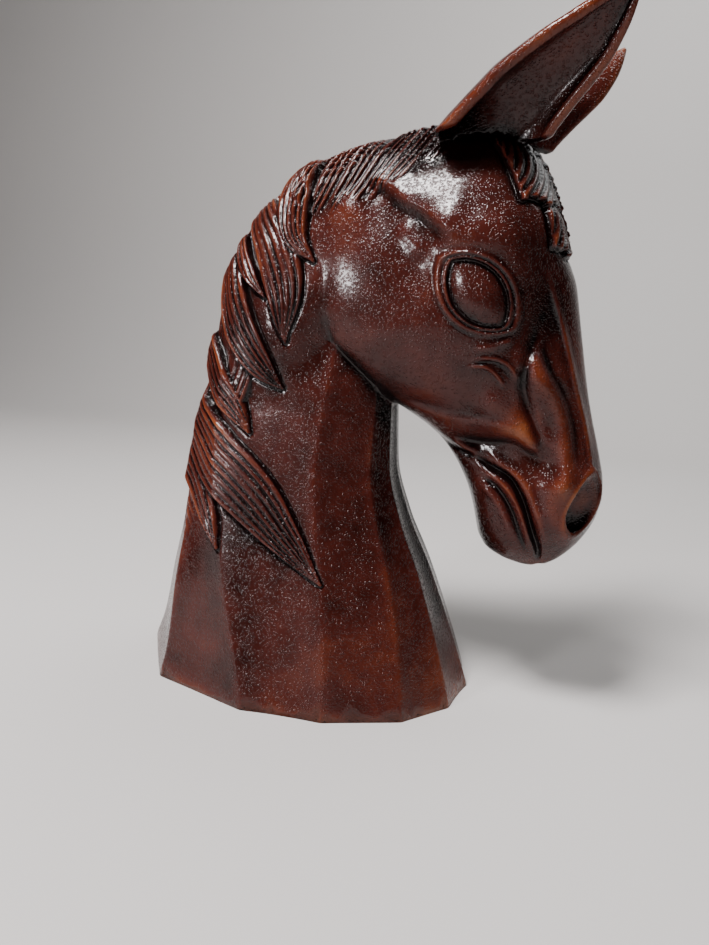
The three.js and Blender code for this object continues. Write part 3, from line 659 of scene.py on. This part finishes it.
    def make_forelock_map(self):
        """The forelock, over millimetres down from the poll and degrees round from the front."""
        down, turn = np.meshgrid(cells(0, 110), cells(0, 120), indexing="ij")
        self.forelock = []
        for side in range(2):
            lift = np.zeros_like(down)
            for start, end, reach, rise, slant in FORELOCK:
                phase = (turn - slant * (down - start)) / FORELOCK_STRAND
                phase = phase + 0.4 * side + 0.2 * np.sin(down / 5)
                last = end - 6 * (turn / reach) ** 2 + 1.5 * np.sin(np.floor(phase) * 2.3)
                edge = np.minimum((reach * ease(start - 22, start + 16, down) - turn) * 0.47, last - down)
                root = ease(start, start + 14, down)
                cover = ease(0, 1.8, edge) * root
                beside = bell(np.clip(-edge, 0, None) / 1.8) * root
                top = rise * (0.45 + 0.55 * root) - 1.5 * (1 - hair(phase))
                lift = mix(lift - 0.8 * beside * (1 - cover), top, cover)
            self.forelock.append(lift)

    def both(self, maps, left, row, column):
        """The value of the left side's map or of the right side's."""
        value = np.empty(len(row))
        for pick, grid in ((left, maps[0]), (~left, maps[1])):
            value[pick] = sample(grid, row[pick], column[pick])
        return value

    def neck(self, x, y, z, left):
        """Distance outside of the neck."""
        turn = np.arctan2(z - self.throat_height, self.throat_x - x)
        above = z > self.throat_height
        run = np.where(above, 1 + turn / self.neck_turn, z / self.throat_height)
        crest_x, crest_z, front_x, front_z, half = self.neck_section(np.clip(run, 0, 2))
        reach = np.hypot(crest_x - front_x, crest_z - front_z) / 2
        from_pivot = np.hypot(x - self.throat_x, z - self.throat_height)
        crest = np.hypot(crest_x - self.throat_x, crest_z - self.throat_height)
        outward = np.where(above, from_pivot - (crest - reach), (crest_x + front_x) / 2 - x)
        gap = self.off_section(np.clip(run, 0, 2), outward, y, reach, half, left)
        end = (run - 2) * self.neck_turn * from_pivot
        gap = np.maximum(gap, np.where(above, end, -z))
        rise = z - self.throat_height
        return smooth_min(gap, self.throat(x, y, rise, left), 0.01 + THROAT_JOIN * ease(2, 14, rise))

    def off_section(self, run, out, y, reach, half, left):
        """Distance outside of the neck's section at a run, from its half depth and half width."""
        c, s = out / reach, y / half
        row, column = run * RUN_CELLS, np.degrees(np.arctan2(s, c)) * TURN_CELLS
        skin = sample(self.round, row, column)
        lift = self.both(self.neck_lift, left, row, column)
        return np.hypot(out, y) * (1 - skin / np.maximum(np.hypot(c, s), 1e-6)) - lift

    def throat(self, x, y, rise, left):
        """Distance outside of the top of the neck's front, where it goes in under the cheek."""
        crest_x, _, front_x, _, half = self.neck_section(np.float64(1))
        crest_x = crest_x + 0.5 * np.clip(rise, 0, None)
        slim = 1 - THROAT_TAPER * rise - THROAT_SLIM * ease(8, THROAT_REACH, rise)
        reach = (front_x - crest_x) / 2
        outward = (crest_x + front_x) / 2 - x
        gap = self.off_section(np.ones(len(x)), outward, y / slim, reach, half, left)
        return np.maximum(gap, np.maximum(rise - THROAT_REACH, -rise))

    def head(self, u, v, y, left):
        """Distance outside of the head, in its own frame."""
        share = u / self.head_length
        inner = np.clip(share, HEAD[0][0], 1)
        face, jaw, widest = (self.head_length * self.rows(k, inner) for k in range(3))
        half = self.head_width * self.rows(3, inner)
        d = v - widest
        fore = d > 0
        size = np.where(fore, face - widest, jaw + widest)
        power = np.where(fore, self.rows(4, inner), self.rows(5, inner))
        row, column = (u - FACE_LOW[0]) * MAP_CELLS, (v - FACE_LOW[1]) * MAP_CELLS
        form = sample(self.face_form, row, column) * ease(0.15, 0.6, y / half)
        off = np.maximum(y - form, 0.2 * y)
        rho = ((np.abs(d) / size) ** power + (off / half) ** power) ** (1 / power)
        gap = np.hypot(d, off) * (1 - 1 / np.maximum(rho, 1e-6))
        gap -= sample(self.face_lines, row, column) * ease(0.1, 0.5, y / half)
        turn = np.degrees(np.arctan2(y, v - FORELOCK_AXIS))
        gap -= self.both(self.forelock, left, u * MAP_CELLS, turn * MAP_CELLS)
        past = np.maximum(HEAD[0][0] * self.head_length - u, u - self.head_length)
        return np.where(past > 0, np.hypot(np.maximum(gap, 0), past), np.maximum(gap, past))

    def ear(self, x, y, z):
        """Distance outside of an ear."""
        lean, splay, opening = self.ear_lean, self.ear_splay, self.ear_opening
        across = self.forward * math.cos(lean) + self.down * math.sin(lean)
        up = -self.down * math.cos(lean) + self.forward * math.sin(lean)
        side = np.array([0, 1, 0])
        axis = up * math.cos(splay) + side * math.sin(splay)
        outward = side - axis * (side @ axis)
        outward /= np.linalg.norm(outward)
        toward = outward * math.cos(opening) + across * math.sin(opening)
        breadth = across * math.cos(opening) - outward * math.sin(opening)
        root = self.poll + self.head_length * (EAR_ROOT[0] * self.down + EAR_ROOT[1] * self.forward)
        root = root + self.ear_spread * side
        p = np.stack([x - root[0], y - root[1], z - root[2]], 1)
        s = p @ axis
        share = np.clip(s / self.ear_length, 0, 1)
        p = p - np.outer(self.ear_rows(2, share) * self.ear_width, across)
        wide = self.ear_width / 2 * self.ear_rows(0, share)
        deep = self.ear_depth * self.ear_rows(1, share)
        wall = np.minimum(self.ear_wall, 0.8 * np.minimum(wide, deep)) / 2
        e, o = p @ breadth, p @ toward
        a, b = np.maximum(wide - wall, 0.3), np.maximum(deep - wall, 0.3)
        rho = np.hypot(e / a, o / b)
        shell = np.abs(np.hypot(e, o) * (1 - 1 / np.maximum(rho, 1e-6))) - wall
        rim = np.hypot(np.abs(e) - a, o) - wall * mix(EAR_RIM, 1, ease(0.7, 1, share))
        gap = np.where(o > 0, rim, np.minimum(shell, rim))
        past = np.maximum(s - self.ear_length, -EAR_FOOT * self.ear_length - s)
        return np.maximum(gap, past)

    def nostrils(self, u, v, y):
        """Distance outside of the hollow of a nostril, and a swelling round its rim."""
        long, wide = turned(u - NOSTRIL_CENTRE[0], v - NOSTRIL_CENTRE[1], NOSTRIL_SLANT)
        out, flat = turned(y - self.nostril_y, wide, NOSTRIL_TILT)
        size = self.nostril
        rho = ((long / size[0]) ** 2 + (flat / size[1]) ** 2) ** 0.5
        deep = np.abs(out) / size[2]
        ball = (rho**3 + deep**3) ** (1 / 3)
        rim = NOSTRIL_RIM * bell((rho - RIM_PLACE) / RIM_WIDTH) * (deep < 1.6)
        return (ball - 1) * size[1], rim

    def find_nostril(self):
        """How far off the middle the nostril's centre is, just past the skin."""
        y = np.linspace(5, 45, 161)
        full = np.ones_like(y)
        gap = self.head(NOSTRIL_CENTRE[0] * full, NOSTRIL_CENTRE[1] * full, y, full > 0)
        return float(y[np.argmax(gap > 0)]) + 1

    def __call__(self, points):
        out = np.empty(len(points))
        for first in range(0, len(points), BATCH):
            out[first : first + BATCH] = self.distance(points[first : first + BATCH])
        return out

    def distance(self, points):
        """Distance outside of the whole carving."""
        x, y, z = points.T
        left = y > 0
        y = np.abs(y)
        u, v = self.in_head(points)
        head = self.head(u, v, y, left)
        hollow, rim = self.nostrils(u, v, y)
        head = -smooth_min(-(head - rim), hollow, NOSTRIL_JOIN)
        notch = np.hypot(u - self.head_length - self.lip_notch * NOTCH_PLACE, v) - self.lip_notch
        head = -smooth_min(-head, notch, NOTCH_JOIN)
        neck = self.neck(x, y, z, left)
        corner = 1 - ease(*CORNER_REACH, np.hypot(x - CORNER[0], z - CORNER[1]))
        reach = mix(*HEAD_JOIN, ease(*JOIN_HEIGHTS, z)) + CORNER_JOIN * corner
        gap = smooth_min(head, neck, reach)
        turn = np.degrees(np.arctan2(y / POLL_HALF, (z - self.poll_axis) / POLL_HEIGHT))
        fringe = self.both(self.fringe, left, (x - POLL_START) * MAP_CELLS, turn * MAP_CELLS)
        gap = gap - fringe * ease(self.poll_axis - 8, self.poll_axis + 2, z)
        near = ease(*EAR_HEIGHTS, z)
        ear = np.full(len(x), float(FAR))
        close = near > 0
        ear[close] = self.ear(x[close], y[close], z[close])
        return smooth_min(gap, mix(FAR, ear, near), EAR_JOIN)


def gradient(field, points, step=0.25):
    """The direction in which the field grows at each point."""
    result = np.empty_like(points)
    for k in range(3):
        shift = np.zeros(3)
        shift[k] = step
        result[:, k] = (field(points + shift) - field(points - shift)) / (2 * step)
    return result


def corner_views(grid, size):
    """The parts of a grid that eight neighbours see, each of that size."""
    return [
        grid[i : i + size[0], j : j + size[1], k : k + size[2]]
        for i in (0, 1) for j in (0, 1) for k in (0, 1)
    ]


def enlarged(grid):
    """The grid with each of its cells repeated, as many times as a coarse cell is wide."""
    for axis in range(3):
        grid = np.repeat(grid, COARSE, axis)
    return grid


def outline_net(field, low, high, step):
    """Corners and four-sided faces of a net laid over the field's skin, with cells of a step."""
    wide = step * COARSE
    count = np.ceil((high - low) / wide).astype(int)
    lattice = [low[k] + np.arange(count[k] + 1) * wide for k in range(3)]
    coarse = np.stack(np.meshgrid(*lattice, indexing="ij"), -1)
    value = field(coarse.reshape(-1, 3)).reshape(coarse.shape[:3])
    views = corner_views(value, count)
    least, most = np.minimum.reduce(views), np.maximum.reduce(views)
    fine = enlarged((least < 1.1 * wide) & (most > -1.1 * wide))
    size = fine.shape
    nodes = np.zeros(np.array(size) + 1, bool)
    for view in corner_views(nodes, size):
        view |= fine
    f = enlarged(value)[: size[0] + 1, : size[1] + 1, : size[2] + 1].astype(np.float32)
    at = np.argwhere(nodes)
    f[nodes] = field(low + at * step)
    inside = f < 0
    total = np.zeros(size, np.int8)
    for view in corner_views(inside, size):
        total += view
    active = (total > 0) & (total < 8) & fine
    cells = np.argwhere(active)
    number = np.full(size, -1, np.int32)
    number[active] = np.arange(len(cells))
    place = np.zeros((len(cells), 3))
    crossings = np.zeros(len(cells))
    for axis in range(3):
        for a in (0, 1):
            for b in (0, 1):
                start = np.insert(np.array([a, b]), axis, 0)
                end = start.copy()
                end[axis] = 1
                first = f[tuple((cells + start).T)]
                second = f[tuple((cells + end).T)]
                cross = (first < 0) != (second < 0)
                share = np.where(cross, first / np.where(cross, first - second, 1), 0)
                point = cells + start + share[:, None] * (end - start)
                place += point * cross[:, None]
                crossings += cross
    place = low + place / crossings[:, None] * step
    faces = []
    for axis in range(3):
        b, c = (axis + 1) % 3, (axis + 2) % 3
        head = [slice(None)] * 3
        tail = [slice(None)] * 3
        head[axis], tail[axis] = slice(None, -1), slice(1, None)
        cross = inside[tuple(head)] != inside[tuple(tail)]
        at = np.argwhere(cross)
        keep = (at[:, b] > 0) & (at[:, c] > 0) & (at[:, b] < size[b]) & (at[:, c] < size[c])
        at = at[keep]
        flips = inside[tuple(at.T)]
        ring = []
        for back_b, back_c in ((1, 1), (0, 1), (0, 0), (1, 0)):
            cell = at.copy()
            cell[:, b] -= back_b
            cell[:, c] -= back_c
            ring.append(number[tuple(cell.T)])
        ring = np.stack(ring, 1)
        whole = (ring >= 0).all(1)
        ring, flips = ring[whole], flips[whole]
        ring[~flips] = ring[~flips][:, ::-1]
        faces.append(ring)
    return place, np.concatenate(faces)


def settle(field, points, step):
    """Moves points onto the skin."""
    for _ in range(2):
        slope = gradient(field, points)
        length = np.maximum((slope**2).sum(1), 0.05)
        move = -field(points) / length
        shift = move[:, None] * slope
        size = np.linalg.norm(shift, axis=1)
        points = points + shift * np.minimum(1, step / np.maximum(size, 1e-9))[:, None]
    return points


def sharpen_rim(field, points, step):
    """Moves points near the edge of the underside onto that edge, and the other low ones to the floor."""
    points[points[:, 2] < FLOOR_GAP, 2] = 0
    near = np.flatnonzero(points[:, 2] < 0.8 * step)
    side = points[near] * (1, 1, 0) + (0, 0, 1.0)
    rim = np.abs(field(side)) < 0.9 * step
    near, side = near[rim], side[rim]
    for _ in range(3):
        slope = gradient(field, side) * (1, 1, 0)
        size = np.maximum((slope**2).sum(1), 0.05)
        side = side - (field(side) / size)[:, None] * slope
    points[near] = side * (1, 1, 0)
    return points


def mesh_from(name, points, faces):
    """A mesh of four-sided faces, from arrays."""
    mesh = bpy.data.meshes.new(name)
    mesh.vertices.add(len(points))
    mesh.vertices.foreach_set("co", (points * MM).astype(np.float32).ravel())
    mesh.loops.add(faces.size)
    mesh.loops.foreach_set("vertex_index", faces.astype(np.int32).ravel())
    mesh.polygons.add(len(faces))
    mesh.polygons.foreach_set("loop_start", np.arange(0, faces.size, 4, dtype=np.int32))
    mesh.update(calc_edges=True)
    mesh.validate()
    return mesh


def thinned(obj, triangles):
    """The object's mesh with no more triangles than that, finest where it bends most."""
    obj.modifiers.new("triangles", "TRIANGULATE").quad_method = "SHORTEST_DIAGONAL"
    obj.modifiers.new("thin", "DECIMATE").ratio = min(1.0, triangles / (2 * len(obj.data.polygons)))
    evaluated = obj.evaluated_get(bpy.context.evaluated_depsgraph_get())
    return bpy.data.meshes.new_from_object(evaluated)


def bend_at(field, points, reach):
    """How much the skin bends within a reach: plus on a ridge and minus in a recess."""
    total = np.zeros(len(points))
    for k in range(3):
        shift = np.zeros(3)
        shift[k] = reach
        total += field(points + shift) + field(points - shift)
    return total / (6 * reach)


def shut_in(field, points, normals, reach):
    """How much stands within a reach in front of the skin: 0 in the open and 1 in a deep cut."""
    return 1 - np.clip(field(points + normals * reach) / reach, 0, 1)


def put_values(mesh, name, values):
    """Stores a value at each corner point of a mesh."""
    attribute = mesh.attributes.new(name, "FLOAT", "POINT")
    attribute.data.foreach_set("value", values.astype(np.float32))


def colour_steps(ramp, stops):
    """Sets the stops of a colour ramp."""
    elements = ramp.color_ramp.elements
    while len(elements) > 1:
        elements.remove(elements[-1])
    elements[0].position, elements[0].color = stops[0]
    for position, colour in stops[1:]:
        elements.new(position).color = colour


def lacquered_wood(look):
    """Dark red-brown lacquer over a pebbled skin, with painted shade near black in the cuts, and amber on
    the ridges.
    """
    material = bpy.data.materials.new("lacquered_wood")
    material.use_nodes = True
    tree = material.node_tree
    nodes, links = tree.nodes, tree.links
    shader = nodes["Principled BSDF"]
    place = nodes.new("ShaderNodeTexCoord").outputs["Object"]

    def math_node(operation, a, b, clamp=False):
        node = nodes.new("ShaderNodeMath")
        node.operation, node.use_clamp = operation, clamp
        for socket, value in zip(node.inputs, (a, b)):
            if isinstance(value, (int, float)):
                socket.default_value = value
            else:
                links.new(value, socket)
        return node.outputs[0]

    def noise(scale, detail):
        node = nodes.new("ShaderNodeTexNoise")
        links.new(place, node.inputs["Vector"])
        node.inputs["Scale"].default_value = scale
        node.inputs["Detail"].default_value = detail
        return node.outputs["Fac"]

    def attribute(name):
        node = nodes.new("ShaderNodeAttribute")
        node.attribute_name = name
        return node.outputs["Fac"]

    def uneven(value, pattern, amount):
        swing = math_node("MULTIPLY", math_node("SUBTRACT", pattern, 0.5), amount)
        return math_node("ADD", swing, value)

    # The tone attribute carries painted shade in cuts and hollows; clouds and specks vary it at random.
    clouds = noise(CLOUD_SCALE, 3)
    tone = uneven(attribute("tone"), clouds, CLOUD_TONE)
    tone = uneven(tone, noise(SPECK_SCALE, 4), SPECK_TONE)
    ramp = nodes.new("ShaderNodeValToRGB")
    colour_steps(ramp, [
        (0.12, look.recess), (0.42, look.body), (0.62, look.warm), (0.92, look.ridge),
    ])
    links.new(tone, ramp.inputs["Fac"])
    links.new(ramp.outputs["Color"], shader.inputs["Base Color"])
    grain = nodes.new("ShaderNodeTexVoronoi")
    links.new(place, grain.inputs["Vector"])
    grain.inputs["Scale"].default_value = 1 / look.grain
    away = math_node("MULTIPLY", grain.outputs["Distance"], grain.outputs["Distance"])
    pebble = math_node("SUBTRACT", 1, math_node("MULTIPLY", away, PEBBLE_SLOPE), True)
    apart = nodes.new("ShaderNodeSeparateColor")
    links.new(grain.outputs["Color"], apart.inputs["Color"])
    height = math_node("MULTIPLY", pebble, math_node("POWER", apart.outputs["Red"], PEBBLE_SPREAD))
    height = math_node("MULTIPLY", height, attribute("grain"))
    bump = nodes.new("ShaderNodeBump")
    bump.inputs["Strength"].default_value = 0.8
    bump.inputs["Distance"].default_value = look.grain_depth
    links.new(height, bump.inputs["Height"])
    links.new(bump.outputs["Normal"], shader.inputs["Normal"])
    links.new(uneven(look.roughness, clouds, CLOUD_ROUGHNESS), shader.inputs["Roughness"])
    shader.inputs["Coat Weight"].default_value = 0.08
    shader.inputs["Coat Roughness"].default_value = 0.16
    shader.inputs["Specular IOR Level"].default_value = 0.26
    return material


def length(name, default, description):
    """A length in metres for the sidebar."""
    return FloatProperty(
        name=name, description=description, default=default, min=0, unit="LENGTH", precision=4
    )


def angle(name, default, description):
    """An angle for the sidebar."""
    turn = math.radians(default)
    return FloatProperty(name=name, description=description, default=turn, subtype="ANGLE")


class HORSE_PG_sizes(PropertyGroup):
    """Sizes of the carving."""

    foot_length: length("Foot length", 0.210, "Flared foot, front to back")
    foot_width: length("Foot width", 0.146, "Flared foot, side to side")
    throat_height: length("Throat height", 0.165, "Where the jaw leaves the neck")
    throat_x: length("Throat place", 0.052, "Front of the neck at the throat")
    neck_depth: length("Neck depth", 0.120, "Throat to crest, front to back")
    neck_width: length("Neck width", 0.082, "Side to side at the throat")
    neck_turn: angle("Neck turn", 116, "How far the neck turns over the throat to the poll")
    head_length: length("Head length", 0.243, "Poll to lips")
    head_width: length("Head width", 0.086, "Across the eyes")
    head_lean: angle("Head lean", 14, "How far the head's axis leans forward of plumb")
    poll_x: length("Poll place", 0.080, "Start of the head's axis, forward of the foot's centre")
    poll_z: length("Poll height", 0.318, "Start of the head's axis, above the floor")
    ear_length: length("Ear length", 0.094, "Root to tip")
    ear_width: length("Ear width", 0.050, "Across the scoop at its root")
    ear_depth: length("Ear depth", 0.021, "Depth of the scoop")
    ear_wall: length("Ear wall", 0.0045, "Thickness of the scoop")
    ear_spread: length("Ear spread", 0.024, "Ear's axis from the middle, at its root")
    ear_lean: angle("Ear lean", 58.5, "How far an ear leans forward of the head's axis")
    ear_splay: angle("Ear splay", 11.5, "How far an ear leans outward")
    ear_opening: angle("Ear opening", 42, "How far the opening is turned forward of sideways")
    lock_rise: length("Lock rise", 0.0038, "How far a lock of the mane stands out")
    eye_length: length("Eye length", 0.040, "Corner to corner of the eyeball")
    eye_height: length("Eye height", 0.025, "Height of the eyeball")
    nostril_length: length("Nostril length", 0.031, "Long way of the nostril")
    nostril_width: length("Nostril width", 0.018, "Short way of the nostril")
    nostril_depth: length("Nostril depth", 0.005, "Depth of the nostril")
    lip_notch: length("Lip notch", 0.004, "Notch where the lips meet in front")
    cell: length("Cell", 0.0008, "Cell of the net that the skin is laid on")
    triangles: IntProperty(name="Triangles", description="Most triangles of the piece", default=196000)


def colour(name, default, description):
    """A colour for the sidebar."""
    return FloatVectorProperty(
        name=name, description=description, default=default, min=0, max=1, size=4, subtype="COLOR"
    )


class HORSE_PG_look(PropertyGroup):
    """Sizes and colours of the finish."""

    grain: length("Grain", 0.0012, "Size of a pebble in the lacquer")
    grain_depth: length("Grain depth", 0.0005, "Height of a pebble in the lacquer")
    roughness: FloatProperty(name="Roughness", description="How dull the lacquer is", default=0.16)
    # Recess is the darkest lacquer, reached mostly where shade is painted into cuts and hollows.
    recess: colour("Recess", (0.0035, 0.0006, 0.0006, 1), "Darkest lacquer, where shade is painted into the cuts")
    body: colour("Body", (0.047, 0.0088, 0.0062, 1), "Lacquer on the open skin")
    warm: colour("Warm", (0.100, 0.0200, 0.0085, 1), "Lacquer where it thins out")
    ridge: colour("Ridge", (0.240, 0.0720, 0.0230, 1), "Lacquer that is rubbed through on ridges")


class HORSE_PG_stage(PropertyGroup):
    """Sizes of the floor, the lights and the view."""

    floor: length("Floor", 3.0, "Side of the floor")
    bend: length("Bend", 0.6, "Radius of the bend from floor to backdrop")
    key_size: length("Key light", 0.35, "Side of the main light")
    lens: FloatProperty(name="Lens", description="Focal length in millimetres", default=27.05)


class HORSE_OT_bust(Operator):
    """Build the carving: neck, head, ears, mane and face in one mesh"""

    bl_idname = "horse.bust"
    bl_label = "Build the bust"

    def execute(self, context):
        sizes = context.scene.horse_sizes
        bust = Bust(sizes)
        step = sizes.cell / MM * 1
        low, high = (np.array(corner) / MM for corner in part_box("horse_head_bust"))
        points, faces = outline_net(bust, low - ROOM, high + ROOM, step)
        points = settle(bust, points, step)
        net = bpy.data.objects.new("net", mesh_from("net", points, faces))
        context.scene.collection.objects.link(net)
        mesh = thinned(net, sizes.triangles)
        bpy.data.objects.remove(net)
        points = np.empty(len(mesh.vertices) * 3, np.float32)
        mesh.vertices.foreach_get("co", points)
        points = settle(bust, points.reshape(-1, 3).astype(float) / MM, LAST_STEP)
        points = np.clip(sharpen_rim(bust, points, step), low, high)
        mesh.vertices.foreach_set("co", (points * MM).astype(np.float32).ravel())
        normals = unit(gradient(bust, points, NORMAL_STEP))
        sharp = bend_at(bust, points, FINE_REACH)
        wide = bend_at(bust, points, BROAD_REACH)
        # Painted shade in fine creases: a fine bend into the skin lowers the tone. Ridges and broad
        # swellings raise it to amber, and broad hollows lower it.
        tone = OPEN_TONE + np.clip(sharp, -0.3, 0) + RIDGE_TONE * np.clip(sharp, 0, 0.3)
        tone = tone + BROAD_TONE * np.clip(wide - BROAD_LEVEL, -0.2, 0.3)
        # Rubbed amber at the listed places, and painted shade where the strength is below nothing.
        tone = tone + bust.rubbed(points)
        # Painted shade: the tone is lowered where the skin is shut in, at each reach and weight.
        for reach, weight in SHADES:
            tone -= weight * shut_in(bust, points, normals, reach)
        put_values(mesh, "tone", np.clip(tone, 0, 1))
        put_values(mesh, "grain", 1 - SMOOTH_EDGES * ease(0.05, 0.2, np.abs(sharp)))
        mesh.shade_smooth()
        mesh.normals_split_custom_set_from_vertices(normals.tolist())
        mesh.name = "horse_head"
        obj = bpy.data.objects.new("horse_head", mesh)
        context.scene.collection.objects.link(obj)
        mesh.materials.clear()
        mesh.materials.append(lacquered_wood(context.scene.horse_look))
        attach(obj, "root")
        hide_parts("horse_head_bust")
        return {"FINISHED"}


class HORSE_OT_stage(Operator):
    """Build the pale floor with its backdrop, the lights and the camera"""

    bl_idname = "horse.stage"
    bl_label = "Build the stage"

    def execute(self, context):
        stage = context.scene.horse_stage
        self.floor(context, stage)
        self.lights(context, stage)
        self.camera(context, stage)
        return {"FINISHED"}

    def floor(self, context, stage):
        """A floor that bends up into a backdrop."""
        half, r = stage.floor / 2, stage.bend
        back = half - r
        profile = [(-half, 0.0), (back, 0.0)]
        for k in range(1, 17):
            turn = math.pi / 2 * k / 16
            profile.append((back + r * math.sin(turn), r - r * math.cos(turn)))
        profile.append((half, stage.floor * 0.8))
        points, faces = [], []
        for y, z in profile:
            points += [(-stage.floor, y, z), (stage.floor, y, z)]
        for k in range(len(profile) - 1):
            faces.append((2 * k, 2 * k + 1, 2 * k + 3, 2 * k + 2))
        mesh = bpy.data.meshes.new("floor")
        mesh.from_pydata(points, [], faces)
        mesh.shade_smooth()
        material = bpy.data.materials.new("pale_floor")
        material.use_nodes = True
        shader = material.node_tree.nodes["Principled BSDF"]
        shader.inputs["Base Color"].default_value = (0.60, 0.585, 0.57, 1)
        shader.inputs["Roughness"].default_value = 0.75
        mesh.materials.append(material)
        floor = bpy.data.objects.new("floor", mesh)
        context.scene.collection.objects.link(floor)

    def area(self, context, name, place, aim, size, power, colour):
        """A square soft light."""
        data = bpy.data.lights.new(name, "AREA")
        data.shape, data.size, data.energy, data.color = "SQUARE", size, power, colour
        light = bpy.data.objects.new(name, data)
        light.location = place
        light.rotation_euler = (Vector(aim) - Vector(place)).to_track_quat("-Z", "Y").to_euler()
        context.scene.collection.objects.link(light)

    def lights(self, context, stage):
        """A small bright key from above, a weak window in front and a soft lamp on the backdrop."""
        aim = (0.03, 0, 0.2)
        self.area(context, "key", (-0.25, -0.45, 1.32), aim, stage.key_size, 34, (1, 0.96, 0.96))
        self.area(context, "window", (-0.62, -0.95, 0.42), aim, 0.18, 7, (1, 0.96, 0.97))
        self.area(context, "backdrop_light", (0.6, 0.6, 1.4), (0.3, 1.4, 0.3), 1.0, 12, (1, 1, 1))
        world = bpy.data.worlds.new("room")
        world.use_nodes = True
        background = world.node_tree.nodes["Background"]
        background.inputs["Color"].default_value = (0.62, 0.62, 0.64, 1)
        background.inputs["Strength"].default_value = 0.04
        context.scene.world = world

    def camera(self, context, stage):
        """The view of the photograph."""
        data = bpy.data.cameras.new("camera")
        data.lens, data.sensor_width = stage.lens, 36
        data.clip_start, data.clip_end = 0.01, 20
        camera = bpy.data.objects.new("camera", data)
        context.scene.collection.objects.link(camera)
        right, up = Vector(VIEW_RIGHT), Vector(VIEW_UP)
        back = right.cross(up).normalized()
        up = back.cross(right).normalized()
        turn = Matrix((right, up, back)).transposed().to_4x4()
        camera.matrix_world = Matrix.Translation(VIEW_PLACE) @ turn
        context.scene.camera = camera


class HORSE_PT_panel(Panel):
    """Sizes and steps of the horse head bust."""

    bl_label = "Horse head bust"
    bl_idname = "HORSE_PT_panel"
    bl_space_type = "VIEW_3D"
    bl_region_type = "UI"
    bl_category = "Horse"

    def draw(self, context):
        scene = context.scene
        for group in (scene.horse_sizes, scene.horse_look, scene.horse_stage):
            column = self.layout.column(align=True)
            for name in group.__annotations__:
                column.prop(group, name)
        self.layout.operator(HORSE_OT_bust.bl_idname)
        self.layout.operator(HORSE_OT_stage.bl_idname)


CLASSES = (
    HORSE_PG_sizes, HORSE_PG_look, HORSE_PG_stage, HORSE_OT_bust, HORSE_OT_stage, HORSE_PT_panel,
)


def register():
    """Adds the sizes, the steps and the panel."""
    for item in CLASSES:
        bpy.utils.register_class(item)
    bpy.types.Scene.horse_sizes = PointerProperty(type=HORSE_PG_sizes)
    bpy.types.Scene.horse_look = PointerProperty(type=HORSE_PG_look)
    bpy.types.Scene.horse_stage = PointerProperty(type=HORSE_PG_stage)


def unregister():
    """Takes them away again."""
    del bpy.types.Scene.horse_stage
    del bpy.types.Scene.horse_look
    del bpy.types.Scene.horse_sizes
    for item in reversed(CLASSES):
        bpy.utils.unregister_class(item)


def main():
    """Builds the piece and its stage."""
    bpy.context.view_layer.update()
    register()
    bpy.ops.horse.bust()
    bpy.ops.horse.stage()


if __name__ == "__main__":
    main()
